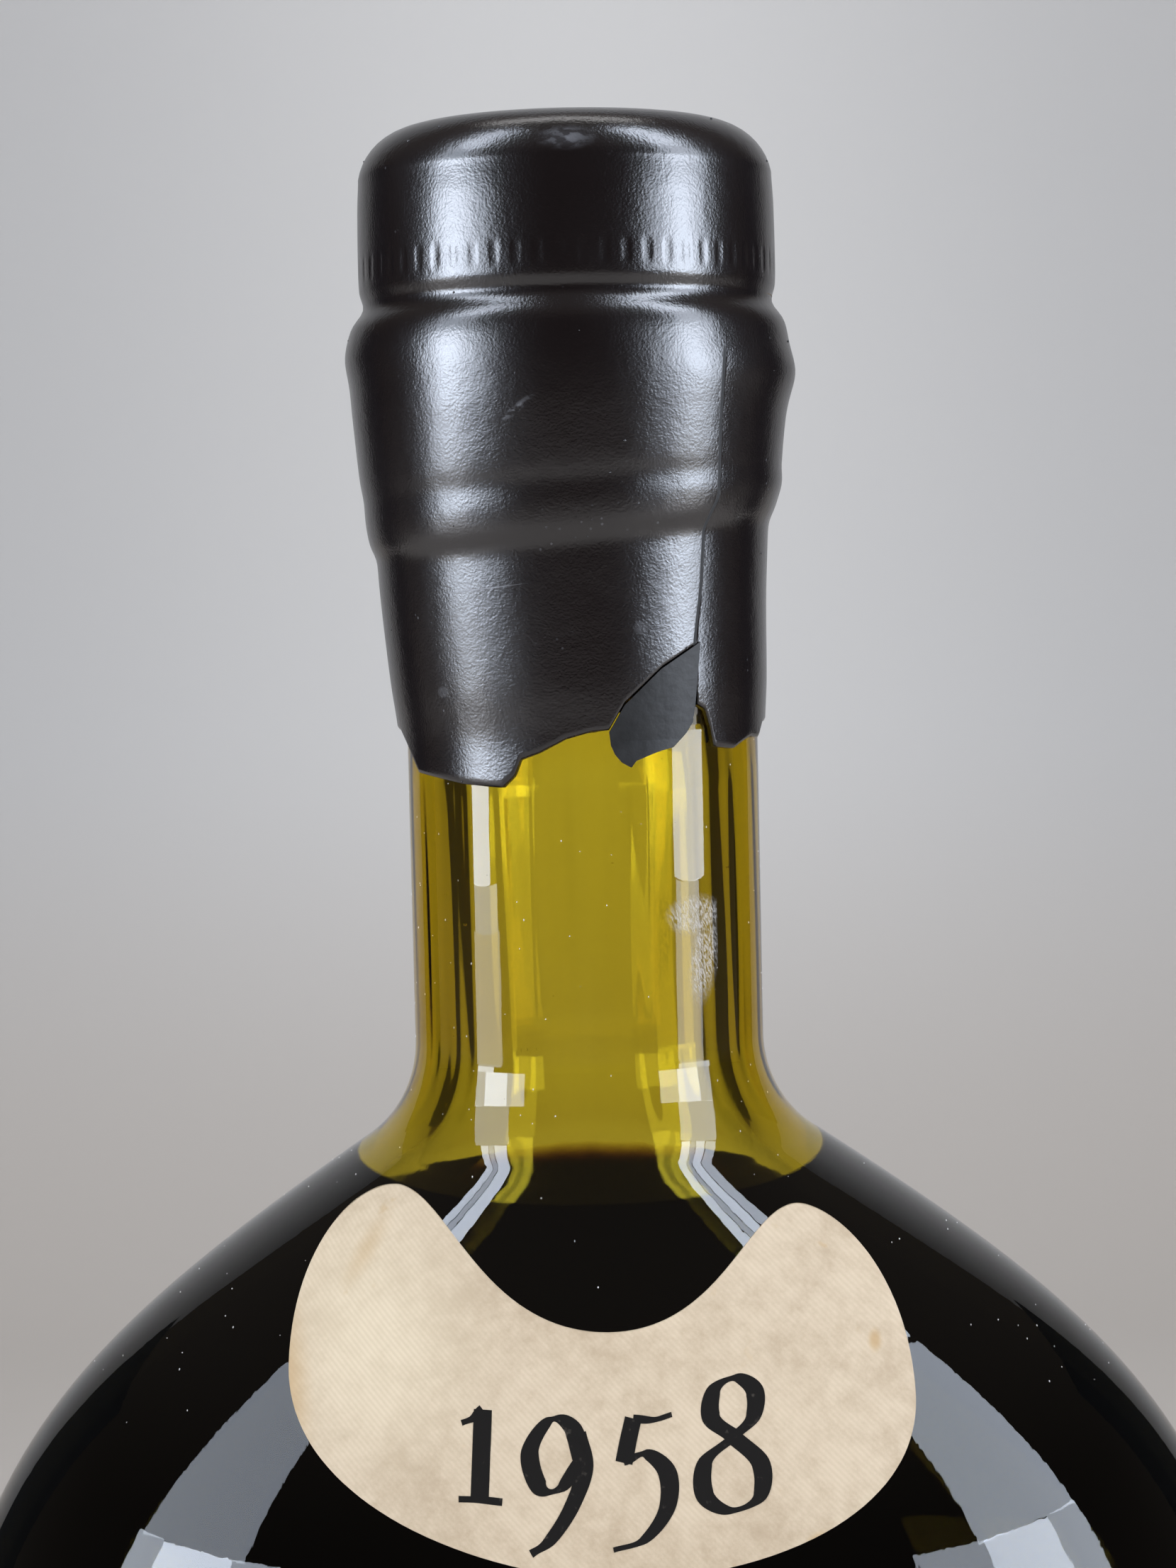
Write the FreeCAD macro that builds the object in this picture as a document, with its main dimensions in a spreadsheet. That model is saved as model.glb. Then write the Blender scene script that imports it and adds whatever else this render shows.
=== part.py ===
import FreeCAD, Part
import math
import os
import Sketcher
from FreeCAD import Placement, Rotation, Vector

# A flattened armagnac bottle, full, stoppered and dipped in sealing wax, with a small
# horned paper label on its front shoulder. Millimetres, +Z up. The origin is the centre
# of the base, the front faces -Y, and the bottle's wide side runs along X.

os.makedirs("parts", exist_ok=True)
doc = FreeCAD.newDocument("armagnac_bottle")

# ---------------------------------------------------------------- driving sizes
SIZES = [
    # glass body
    ("body_width", 110.0, "widest, side to side"),
    ("body_depth", 74.0, "deepest, front to back"),
    ("belly_height", 91.0, "height of the widest section"),
    ("base_width", 97.0, "width just above the heel"),
    ("base_depth", 61.0, "depth just above the heel"),
    ("base_lean", 9.0, "degrees the sides lean out above the heel"),
    ("base_reach", 26.0, "how far that lean carries up"),
    ("belly_drop", 34.0, "how far the belly stays upright below its widest section"),
    ("heel_radius", 9.0, "rounding between side and base"),
    ("punt_width", 60.0, "hollow under the base, side to side"),
    ("punt_depth", 34.0, "hollow under the base, front to back"),
    ("punt_rise", 7.0, "height of that hollow"),
    # shoulders, seen from the front and from the side
    ("neck_foot", 175.0, "height where the neck starts to flare"),
    ("front_flare", 9.5, "front view: radius of the flare under the neck"),
    ("front_slope", 34.0, "front view: degrees from level where the flare ends"),
    ("front_reach", 35.5, "front view: how far the shoulder keeps that slope"),
    ("front_rise", 48.0, "front view: how far the belly stays upright above its widest section"),
    ("side_flare", 14.0, "side view: radius of the flare"),
    ("side_slope", 56.0, "side view: degrees from level where the flare ends"),
    ("side_reach", 16.0, "side view: how far the shoulder keeps that slope"),
    ("side_rise", 42.0, "side view: how far the belly stays upright"),
    # neck and finish
    ("neck_radius", 13.75, "outside of the neck"),
    ("neck_straight", 24.0, "straight part of the neck above its foot"),
    ("collar_flare", 0.75, "how much the neck widens below the ring"),
    ("collar_rise", 19.5, "height over which it widens"),
    ("ring_proud", 1.05, "how far the ring stands out from the collar"),
    ("ring_height", 10.0, "height of the ring"),
    ("ring_round", 0.9, "rounding of the ring's edges"),
    ("lip_inset", 1.3, "how far the lip is set back from the ring"),
    ("lip_height", 4.0, "height of the lip"),
    ("lip_round", 1.2, "rounding of the lip"),
    ("bore_radius", 9.5, "mouth"),
    # walls
    ("wall", 3.3, "glass in the body"),
    ("neck_wall", 3.9, "glass in the neck"),
    ("base_glass", 5.0, "glass in the base"),
    # contents
    ("ullage", 12.0, "from the foot of the neck down to the liquid"),
    # stopper
    ("head_radius", 15.5, "stopper head"),
    ("head_height", 12.9, "height of the head"),
    ("head_round", 4.0, "rounding of the head's top edge"),
    ("shank_length", 22.0, "cork shank inside the mouth"),
    ("shank_bevel", 1.0, "bevel at the end of the shank"),
    # sealing wax
    ("wax", 0.65, "thickness of the coat"),
    ("foot_wax", 0.95, "thickness at the foot of the ring"),
    ("ring_wax", 1.75, "thickness at the top of the ring, where the wax ran together"),
    ("crown_wax", 0.9, "thickness over the stopper"),
    ("crown_dome", 0.6, "how far the top falls towards its edge"),
    ("wax_fillet", 5.5, "height of the wax run in under the ring"),
    ("wax_lap", 24.5, "how far the coat runs down below the ring"),
    ("wax_soften", 1.8, "rounding of the coat over the edges below"),
    ("crack", 0.12, "width of the cracks in the wax"),
    ("dents", 62, "soft dents round the head, over the grip of the stopper"),
    ("dent_rise", 2.5, "from the lip up to the middle of a dent"),
    ("dent_height", 2.2, "height of a dent"),
    ("dent_radius", 0.6, "roundness of a dent"),
    ("dent_depth", 0.2, "depth of a dent"),
    # paper label: drops are from the foot of the neck
    ("paper", 0.2, "thickness"),
    ("label_shift", 0.4, "how far its centre line is off the bottle's"),
    ("label_turn", 2.5, "degrees clockwise that it was pasted on"),
    ("label_width", 46.0, "widest"),
    ("label_waist", 22.6, "drop to the widest point"),
    ("label_foot", 34.5, "drop to the bottom edge"),
    ("notch_drop", 18.55, "drop to the bottom of the notch"),
    ("notch_reach", 8.7, "how far the notch's bottom stays level"),
    ("horn_spread", 29.7, "between the tips of the two horns"),
    ("horn_drop", 10.4, "drop to the tips"),
    ("horn_inner", 4.0, "roundness of a tip towards the notch"),
    ("horn_outer", 2.0, "roundness of a tip towards the side"),
    ("side_upper", 8.8, "roundness of the side above its widest point"),
    ("side_lower", 8.6, "roundness of the side below it"),
    ("foot_reach", 8.6, "how far the bottom edge stays level"),
]
sheet = doc.addObject("Spreadsheet::Sheet", "Sizes")
for row, (alias, value, note) in enumerate(SIZES, start=1):
    sheet.set(f"A{row}", alias)
    sheet.set(f"B{row}", str(value))
    sheet.set(f"C{row}", note)
    sheet.setAlias(f"B{row}", alias)
doc.recompute()


def size(alias):
    """One driving size, read from the sheet."""
    return float(sheet.get(alias))


# Levels and radii that several pieces share, as expressions on the sheet.
NECK_TOP = "Sizes.neck_foot + Sizes.neck_straight"
RING_FOOT = f"{NECK_TOP} + Sizes.collar_rise"
RING_TOP = f"{RING_FOOT} + Sizes.ring_height"
LIP_TOP = f"{RING_TOP} + Sizes.lip_height"
HEAD_TOP = f"{LIP_TOP} + Sizes.head_height"
WAX_TOP = f"{HEAD_TOP} + Sizes.crown_wax"
WAX_END = f"{RING_FOOT} - Sizes.wax_lap"
LIQUID_TOP = "Sizes.neck_foot - Sizes.ullage"
COLLAR = "Sizes.neck_radius + Sizes.collar_flare"
RING = f"{COLLAR} + Sizes.ring_proud"
LIP = f"{RING} - Sizes.lip_inset"


def evaluate(expression):
    """The number that an expression on the sheet gives."""
    return float(sheet.evalExpression(expression))


# ---------------------------------------------------------------- the bottle's outlines
def bezier(corners, u):
    """Point and direction at u on the cubic curve with these four corners."""
    v = 1.0 - u
    point = [
        v**3 * a + 3 * v * v * u * b + 3 * v * u * u * c + u**3 * d for a, b, c, d in zip(*corners)
    ]
    direction = [
        v * v * (b - a) + 2 * v * u * (c - b) + u * u * (d - c) for a, b, c, d in zip(*corners)
    ]
    return point, direction


class Outline:
    """Half of the glass's outline, seen from the front or from the side.

    It runs up from the base in five stretches, one for each whole step of t: heel, lower
    body, shoulder, flare and neck."""

    def __init__(self, view, overall, base):
        self.belly = size(overall) / 2
        self.base = size(base) / 2
        self.flare = size(f"{view}_flare")
        self.slope = math.radians(size(f"{view}_slope"))
        self.reach = size(f"{view}_reach")
        self.rise = size(f"{view}_rise")
        self.lean = math.radians(size("base_lean"))
        self.stretches = [self.heel, self.lower_body, self.shoulder, self.neck_flare, self.neck]

    def heel(self, u):
        radius = size("heel_radius")
        swing = -math.pi / 2 + (math.pi / 2 - self.lean) * u
        centre = self.base - radius * math.cos(self.lean)
        point = [centre + radius * math.cos(swing), radius + radius * math.sin(swing)]
        return point, [-math.sin(swing), math.cos(swing)]

    def lower_body(self, u):
        foot = self.heel(1.0)[0]
        reach = size("base_reach")
        leaning = [foot[0] + reach * math.sin(self.lean), foot[1] + reach * math.cos(self.lean)]
        belly = size("belly_height")
        upright = [self.belly, belly - size("belly_drop")]
        return bezier([foot, leaning, upright, [self.belly, belly]], u)

    def shoulder(self, u):
        belly = size("belly_height")
        end = self.neck_flare(0.0)[0]
        sloping = [
            end[0] + self.reach * math.cos(self.slope),
            end[1] - self.reach * math.sin(self.slope),
        ]
        upright = [self.belly, belly + self.rise]
        return bezier([[self.belly, belly], upright, sloping, end], u)

    def neck_flare(self, u):
        swing = (math.pi / 2 - self.slope) * (1 - u)
        out = self.flare * (1 - math.cos(swing))
        down = self.flare * math.sin(swing)
        point = [size("neck_radius") + out, size("neck_foot") - down]
        return point, [-math.sin(swing), math.cos(swing)]

    def neck(self, u):
        return [size("neck_radius"), size("neck_foot") + u * size("neck_straight")], [0.0, 1.0]

    def point(self, t, inset):
        """The outline's point at t, moved square into the glass by inset."""
        index = min(int(t), len(self.stretches) - 1)
        (x, z), (along_x, along_z) = self.stretches[index](t - index)
        length = math.hypot(along_x, along_z)
        return x - inset * along_z / length, z + inset * along_x / length

    def half_width(self, height, inset_at):
        """Half width at a height, on the outline moved in by inset_at(t)."""
        low, high = 0.0, float(len(self.stretches))
        for _ in range(40):
            middle = (low + high) / 2
            if self.point(middle, inset_at(middle))[1] < height:
                low = middle
            else:
                high = middle
        return self.point(high, inset_at(high))[0]


front = Outline("front", "body_width", "base_width")
side = Outline("side", "body_depth", "base_depth")


def spread(start, end, count):
    """count evenly spaced values after start, up to and with end."""
    return [start + (end - start) * (i + 1) / count for i in range(count)]


# Levels lie closer together where the outline turns more tightly.
LEVELS = spread(0, 1, 6) + spread(1, 2, 5) + spread(2, 3, 9) + spread(3, 4, 5) + spread(4, 5, 4)

# Corners and weights that make half a circle of a smooth surface.
CORNER_WEIGHT = math.sqrt(0.5)
HALF_CIRCLE = [
    (1, 0, 1.0), (1, 1, CORNER_WEIGHT), (0, 1, 1.0), (-1, 1, CORNER_WEIGHT), (-1, 0, 1.0)
]


def half_skin(rise, towards):
    """The front or the back half of a skin. Its level sections are half ellipses, and the
    line called rise gives their half width, half depth and height as x, y and z."""
    surface = Part.BSplineSurface()
    surface.buildFromPolesMultsKnots(
        [[Vector(x * p.x, towards * y * p.y, p.z) for p in rise.getPoles()] for x, y, _ in HALF_CIRCLE],
        [3, 2, 3], rise.getMultiplicities(), [0.0, 0.5, 1.0], rise.getKnots(), False, False,
        2, rise.Degree, [[weight] * rise.NbPoles for _, _, weight in HALF_CIRCLE],
    )
    return surface


def skin(inset_at, lowest):
    """A closed solid whose level sections are ovals, at each height as wide as the front
    outline and as deep as the side outline, both moved in by inset_at(t)."""
    heights = [front.point(t, inset_at(t))[1] for t in LEVELS]
    points = []
    for height in [lowest] + [z for z in heights if z > lowest + 0.3]:
        wide = front.half_width(height, inset_at)
        deep = side.half_width(height, inset_at)
        points.append(Vector(wide, deep, height))
    lengths = [0.0]
    for low, high in zip(points, points[1:]):
        lengths.append(lengths[-1] + low.distanceToPoint(high))
    rise = Part.BSplineCurve()
    rise.interpolate(Points=points, Parameters=lengths)
    halves = [half_skin(rise, 1), half_skin(rise, -1)]
    ends = [Part.Face(Part.Wire([half.vIso(v).toShape() for half in halves]))
            for v in (lengths[0], lengths[-1])]
    shell = Part.makeShell([half.toShape() for half in halves] + ends)
    shell.sewShape()
    solid = Part.makeSolid(shell)
    if solid.Volume < 0:
        solid.reverse()
    return solid


def glass_wall(t):
    """Wall at t: the body's, thickening over the flare to the neck's."""
    neck_share = min(1.0, max(0.0, t - 3.0))
    return size("wall") + (size("neck_wall") - size("wall")) * neck_share


# ---------------------------------------------------------------- ways of making pieces
def add(kind, name, **settings):
    """A document object. A setting that names the sheet is an expression."""
    item = doc.addObject(kind, name)
    for key, value in settings.items():
        if isinstance(value, str) and "Sizes." in value:
            item.setExpression(key, value)
        else:
            setattr(item, key, value)
    return item


def held(name, shape):
    """A plain feature for a form that only Part's own functions can make."""
    item = doc.addObject("Part::Feature", name)
    item.Shape = shape
    item.Placement = Placement()
    return item


def edge_at(shape, radius, height):
    """Name of the round edge that lies at this radius and height."""
    for number, edge in enumerate(shape.Edges, start=1):
        start = edge.Vertexes[0].Point
        if math.hypot(math.hypot(start.x, start.y) - radius, start.z - height) < 1e-4:
            if edge.Curve.TypeId == "Part::GeomCircle":
                return f"Edge{number}"
    raise ValueError(f"no round edge at radius {radius}, height {height}")


def turned(name, corners, rounds):
    """A body turned about Z from a sketch.

    corners are (radius, height) expressions in order round the profile, which starts and
    ends on the axis. rounds are (corner number, fillet radius expression)."""
    body = doc.addObject("PartDesign::Body", name)
    sketch = body.newObject("Sketcher::SketchObject", f"{name}_profile")
    plane = [item for item in body.Origin.OriginFeatures if item.Role == "XZ_Plane"][0]
    sketch.AttachmentSupport = [(plane, "")]
    sketch.MapMode = "FlatFace"
    places = [Vector(evaluate(x), evaluate(z), 0) for x, z in corners]
    count = len(places)
    for i in range(count):
        sketch.addGeometry(Part.LineSegment(places[i], places[(i + 1) % count]), False)
    for i in range(count):
        sketch.addConstraint(Sketcher.Constraint("Coincident", i, 2, (i + 1) % count, 1))
    for i, (x, z) in enumerate(corners):
        if places[i].x == 0:
            sketch.addConstraint(Sketcher.Constraint("PointOnObject", i, 1, -2))
        else:
            across = sketch.addConstraint(
                Sketcher.Constraint("DistanceX", -1, 1, i, 1, places[i].x)
            )
            sketch.setExpression(f"Constraints[{across}]", x)
        up = sketch.addConstraint(Sketcher.Constraint("DistanceY", -1, 1, i, 1, places[i].y))
        sketch.setExpression(f"Constraints[{up}]", z)
    turn = body.newObject("PartDesign::Revolution", f"{name}_turn")
    turn.Profile = sketch
    turn.ReferenceAxis = (sketch, ["V_Axis"])
    turn.Angle = 360
    doc.recompute()
    for number, (corner, radius) in enumerate(rounds, start=1):
        edge = edge_at(body.Tip.Shape, places[corner].x, places[corner].y)
        base = body.Tip
        fillet = body.newObject("PartDesign::Fillet", f"{name}_round_{number}")
        fillet.Base = (base, [edge])
        fillet.setExpression("Radius", radius)
        body.Tip = fillet
        doc.recompute()
    return body


def prism(name, points, towards):
    """A flat outline of (x, z) points pushed out along Y, from the middle of the bottle."""
    outline = add("Part::Polygon", f"{name}_outline", Close=True)
    outline.Nodes = [Vector(x, 0, z) for x, z in points]
    return add(
        "Part::Extrusion", name, Base=outline, DirMode="Custom", Dir=Vector(0, towards, 0),
        LengthFwd="Sizes.body_depth", Solid=True,
    )


# ---------------------------------------------------------------- glass and armagnac
# The glass is its outer form less its cavity. The outer form is one smooth skin from the
# heel to the neck, with the collar, ring and lip turned on top of it.
finish = turned(
    "finish",
    [
        ("0", NECK_TOP),
        ("Sizes.neck_radius", NECK_TOP),
        (COLLAR, RING_FOOT),
        (RING, RING_FOOT),
        (RING, RING_TOP),
        (LIP, RING_TOP),
        (LIP, LIP_TOP),
        ("0", LIP_TOP),
    ],
    [(3, "Sizes.ring_round"), (4, "Sizes.ring_round"), (6, "Sizes.lip_round")],
)
outer_skin = held("outer_skin", skin(lambda t: 0.0, 0.0))
glass_form = add("Part::Fuse", "glass_form", Base=outer_skin, Tool=finish)

punt = add(
    "Part::Ellipsoid", "punt", Radius1="Sizes.punt_rise", Radius2="Sizes.punt_width / 2",
    Radius3="Sizes.punt_depth / 2",
)
footed = add("Part::Cut", "footed", Base=glass_form, Tool=punt)

# Inside, the glass rises over the punt, and the mouth is a plain bore.
inner_skin = held("inner_skin", skin(glass_wall, size("base_glass")))
bore = add(
    "Part::Cylinder", "bore", Radius="Sizes.bore_radius",
    Height=f"{LIP_TOP} - ({NECK_TOP}) + Sizes.wall",
)
bore.setExpression("Placement.Base.z", f"{NECK_TOP} - Sizes.wall")
inner_form = add("Part::Fuse", "inner_form", Base=inner_skin, Tool=bore)
punt_inside = add(
    "Part::Ellipsoid", "punt_inside", Radius1="Sizes.punt_rise + Sizes.base_glass",
    Radius2="Sizes.punt_width / 2 + Sizes.base_glass",
    Radius3="Sizes.punt_depth / 2 + Sizes.base_glass",
)
cavity = add("Part::Cut", "cavity", Base=inner_form, Tool=punt_inside)
bottle = add("Part::Cut", "bottle", Base=footed, Tool=cavity)

# The armagnac fills the cavity up to a level just under the foot of the neck.
below_level = add(
    "Part::Box", "below_level", Length="2 * Sizes.body_width", Width="2 * Sizes.body_width",
    Height=LIQUID_TOP,
)
below_level.setExpression("Placement.Base.x", "-Sizes.body_width")
below_level.setExpression("Placement.Base.y", "-Sizes.body_width")
armagnac = add("Part::Common", "armagnac", Base=cavity, Tool=below_level)

# ---------------------------------------------------------------- stopper
SHANK_END = f"{LIP_TOP} - Sizes.shank_length"
stopper = turned(
    "stopper",
    [
        ("0", SHANK_END),
        ("Sizes.bore_radius - Sizes.shank_bevel", SHANK_END),
        ("Sizes.bore_radius", f"{SHANK_END} + Sizes.shank_bevel"),
        ("Sizes.bore_radius", LIP_TOP),
        ("Sizes.head_radius", LIP_TOP),
        ("Sizes.head_radius", HEAD_TOP),
        ("0", HEAD_TOP),
    ],
    [(5, "Sizes.head_round")],
)

# ---------------------------------------------------------------- sealing wax
# The coat is a soft outer form, turned, less the glass and the stopper under it. Then its
# broken lower edge and its cracks are cut from the front and from the back.
wax_outside = turned(
    "wax_outside",
    [
        ("0", WAX_END),
        ("Sizes.neck_radius + Sizes.wax", WAX_END),
        ("Sizes.neck_radius + Sizes.wax", NECK_TOP),
        (f"{COLLAR} + Sizes.wax", f"{RING_FOOT} - Sizes.wax_fillet"),
        (f"{RING} + Sizes.foot_wax", RING_FOOT),
        (f"{RING} + Sizes.ring_wax", RING_TOP),
        ("Sizes.head_radius + Sizes.wax", f"{LIP_TOP} + Sizes.wax"),
        ("Sizes.head_radius + Sizes.wax", f"{WAX_TOP} - Sizes.crown_dome"),
        ("0", WAX_TOP),
    ],
    [
        (3, "Sizes.wax_soften"),
        (4, "Sizes.wax_soften"),
        (5, "Sizes.wax_soften"),
        (6, "Sizes.wax_soften"),
        (7, "Sizes.head_round + Sizes.wax"),
    ],
)

# One dent is an upright flute that just bites into the head. It repeats round the axis.
dent = wax_outside.newObject("PartDesign::SubtractiveCylinder", "dent")
dent.setExpression("Radius", "Sizes.dent_radius")
dent.setExpression("Height", "Sizes.dent_height")
dent.setExpression(
    "Placement.Base.x", "Sizes.head_radius + Sizes.wax + Sizes.dent_radius - Sizes.dent_depth"
)
dent.setExpression(
    "Placement.Base.z", f"{LIP_TOP} + Sizes.dent_rise - Sizes.dent_height / 2"
)
wax_outside.Tip = dent
dent_row = wax_outside.newObject("PartDesign::PolarPattern", "dent_row")
dent_row.Originals = [dent]
dent_row.Axis = (
    [item for item in wax_outside.Origin.OriginFeatures if item.Role == "Z_Axis"][0], [""]
)
dent_row.Angle = 360
dent_row.setExpression("Occurrences", "Sizes.dents")
wax_outside.Tip = dent_row
doc.recompute()
over_glass = add("Part::Cut", "over_glass", Base=wax_outside, Tool=glass_form)
wax_coat = add("Part::Cut", "wax_coat", Base=over_glass, Tool=stopper)

# The broken edge from left to right: (x, drop below the ring).
FRONT_EDGE = [
    (-13.3, 19.9), (-12.8, 21.1), (-12.4, 22.0), (-10.8, 22.3), (-8.7, 22.7), (-6.0, 22.9),
    (-5.1, 22.0), (-4.6, 20.8), (-3.2, 20.3), (-1.2, 19.3), (0.7, 18.8), (2.0, 18.7),
]
FLAKE_CRACK = [(3.2, 16.7), (6.0, 14.1), (9.0, 12.2)]
NOTCH = [(8.5, 17.0), (9.2, 17.5), (9.6, 18.8), (9.9, 20.3)]
FRONT_EDGE_RIGHT = [(11.4, 20.6), (12.0, 20.2), (12.8, 19.8), (13.4, 20.0)]
FLAKE_EDGE = [
    (8.3, 18.3), (7.8, 19.1), (6.8, 20.1), (5.6, 20.4), (4.0, 21.0), (3.6, 21.5), (2.9, 21.1),
    (2.4, 20.5), (2.1, 19.8),
]
BACK_EDGE = [
    (-12.0, 20.8), (-9.4, 19.7), (-6.2, 20.5), (-2.5, 22.1), (1.4, 21.3), (3.8, 19.1),
    (6.9, 19.4), (9.4, 21.4), (12.6, 20.5),
]
# The long crack on the right of the front, from the ring down to the bay.
CRACK = [
    (11.5, -8.5), (11.2, -3.8), (11.0, 1.5), (9.8, 3.9), (9.5, 8.3), (9.0, 12.0), (8.9, 14.5),
]


def dropped(points):
    """(x, z) points from (x, drop below the ring)."""
    ring_foot = evaluate(RING_FOOT)
    return [(x, ring_foot - drop) for x, drop in points]


def below_edge(points):
    """The area under a broken edge. Past the neck's sides it is level, so that the front
    edge and the back edge meet there."""
    side = size("neck_radius")
    reach = 2 * side
    under = size("wax_lap") + size("wax_fillet")
    left = [(-reach, under), (-reach, SIDE_DROP), (-side, SIDE_DROP)]
    return dropped(left + points + [(side, SIDE_DROP), (reach, SIDE_DROP), (reach, under)])


SIDE_DROP = 18.9
front_chips = prism(
    "front_chips", below_edge(FRONT_EDGE + FLAKE_CRACK + NOTCH + FRONT_EDGE_RIGHT), -1
)
back_chips = prism("back_chips", below_edge(BACK_EDGE), 1)
crack = size("crack")
crack_sides = [(x - crack / 2, drop) for x, drop in CRACK]
crack_sides += [(x + crack / 2, drop) for x, drop in reversed(CRACK)]
long_crack = prism("long_crack", dropped(crack_sides), -1)
chips = add("Part::MultiFuse", "chips", Shapes=[front_chips, back_chips, long_crack])
wax_seal = add("Part::Cut", "wax_seal", Base=wax_coat, Tool=chips)

# A loose flake still sits in the bay on the front, a crack's width below the coat.
flake_outline = [(x, drop + crack) for x, drop in FRONT_EDGE[-1:] + FLAKE_CRACK + NOTCH[:1]]
flake_prism = prism("flake_outline", dropped(flake_outline + FLAKE_EDGE), -1)
wax_flake = add("Part::Common", "wax_flake", Base=wax_coat, Tool=flake_prism)

# ---------------------------------------------------------------- paper label
# A crescent with two horns, cut from a skin one paper thickness outside the glass.
def label_outline():
    """The label's outline in the XZ plane, as six curves between the notch, the horn
    tips, the widest points and the foot."""
    foot = size("neck_foot")
    notch = foot - size("notch_drop")
    tip = size("horn_spread") / 2
    horn = foot - size("horn_drop")
    half = size("label_width") / 2
    waist = foot - size("label_waist")
    bottom = foot - size("label_foot")
    right = [
        [(0, notch), (size("notch_reach"), notch), (tip - size("horn_inner"), horn), (tip, horn)],
        [(tip, horn), (tip + size("horn_outer"), horn), (half, waist + size("side_upper")),
         (half, waist)],
        [(half, waist), (half, waist - size("side_lower")), (size("foot_reach"), bottom),
         (0, bottom)],
    ]
    left = [[(-x, z) for x, z in reversed(curve)] for curve in reversed(right)]
    edges = []
    for curve in right + left:
        line = Part.BezierCurve()
        line.setPoles([Vector(x, 0, z) for x, z in curve])
        edges.append(line.toShape())
    outline = Part.Wire(edges)
    outline.rotate(Vector(0, 0, waist), Vector(0, 1, 0), size("label_turn"))
    outline.translate(Vector(size("label_shift"), 0, 0))
    return outline


paper_skin = held("paper_skin", skin(lambda t: -size("paper"), 0.0))
label_prism = add(
    "Part::Extrusion", "label_prism", Base=held("label_outline", label_outline()),
    DirMode="Custom", Dir=Vector(0, -1, 0), LengthFwd="Sizes.body_depth", Solid=True,
)
paper_front = add("Part::Common", "paper_front", Base=paper_skin, Tool=label_prism)
neck_label = add("Part::Cut", "neck_label", Base=paper_front, Tool=outer_skin)

# ---------------------------------------------------------------- writing the pieces
doc.recompute()
for item in doc.Objects:
    if "Invalid" in item.State or "Error" in item.State:
        raise RuntimeError(f"{item.Label} did not build: {item.State}")

PIECES = [bottle, armagnac, stopper, wax_seal, wax_flake, neck_label]
for piece in PIECES:
    shape = piece.Shape
    if shape.isNull() or not shape.isValid():
        raise RuntimeError(f"{piece.Label} has no valid shape")
    if len(shape.Solids) != 1:
        raise RuntimeError(f"{piece.Label} is {len(shape.Solids)} solids, not one")
    box = shape.BoundBox
    print(
        f"{piece.Label}: {box.XLength:.1f} x {box.YLength:.1f} x {box.ZLength:.1f} mm,"
        f" {shape.Volume / 1000:.1f} ml"
    )
for piece in PIECES:
    piece.Shape.exportStep(f"parts/{piece.Label}.step")
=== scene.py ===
# %% [markdown]
# # A sealed armagnac bottle
#
# A flat glass flask of armagnac stands under studio light. It has an olive glass body, dark
# spirit up to the shoulders, a stopper under black sealing wax, and a crescent of cream
# paper on the shoulder. The CAD frame gives every size. The pieces below are built round it.

# %% Load the frame
import math

import bpy
import numpy as np
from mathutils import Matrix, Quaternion, Vector
from mathutils.bvhtree import BVHTree


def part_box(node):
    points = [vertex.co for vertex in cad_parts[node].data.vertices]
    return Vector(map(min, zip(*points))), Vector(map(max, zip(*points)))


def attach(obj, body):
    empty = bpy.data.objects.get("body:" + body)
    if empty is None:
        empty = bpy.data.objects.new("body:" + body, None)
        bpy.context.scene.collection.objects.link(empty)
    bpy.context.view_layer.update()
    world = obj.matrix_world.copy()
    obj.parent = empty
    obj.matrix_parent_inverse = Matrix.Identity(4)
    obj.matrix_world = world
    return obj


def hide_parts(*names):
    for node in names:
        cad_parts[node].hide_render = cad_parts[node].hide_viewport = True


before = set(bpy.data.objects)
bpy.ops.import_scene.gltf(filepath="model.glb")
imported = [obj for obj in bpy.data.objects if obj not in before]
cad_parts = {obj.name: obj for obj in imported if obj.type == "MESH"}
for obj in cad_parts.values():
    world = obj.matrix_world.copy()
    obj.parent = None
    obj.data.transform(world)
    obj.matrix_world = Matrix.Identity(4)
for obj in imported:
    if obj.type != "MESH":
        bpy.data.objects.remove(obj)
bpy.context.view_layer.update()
MM = 0.001

# %% [markdown]
# Every piece ends as a plain mesh at the origin. Most pieces here are turned or swept, so
# they start as rings of corners, one above the other. Small helpers join the rings with
# faces, close the ends with fans and tie the piece to the body.
# One more helper copies a CAD node into a search tree, which can then be felt with rays.
# That is how a piece finds the surface it lies on, without a size being typed twice.


# %% Meshes
def rings_to_faces(rings, around):
    """Quads between rings of corners, each ring with the same number of corners."""
    faces = []
    for low_ring in range(0, (rings - 1) * around, around):
        high_ring = low_ring + around
        for k in range(around):
            following = (k + 1) % around
            faces.append((low_ring + k, low_ring + following,
                          high_ring + following, high_ring + k))
    return faces


def fan(pole, first, around, faces_up=True):
    """Triangles from a pole to the ring of corners that starts at first."""
    pairs = [(first + k, first + (k + 1) % around) for k in range(around)]
    return [(pole, a, b) if faces_up else (pole, b, a) for a, b in pairs]


def linked(name, mesh):
    """A new object at the origin, which the scene shows."""
    made = bpy.data.objects.new(name, mesh)
    bpy.context.collection.objects.link(made)
    return made


def new_mesh(name, points, faces):
    """A smooth mesh from corners in metres and lists of corner numbers."""
    mesh = bpy.data.meshes.new(name)
    mesh.from_pydata([tuple(map(float, p)) for p in points], [], [tuple(f) for f in faces])
    mesh.shade_smooth()
    return mesh


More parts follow.
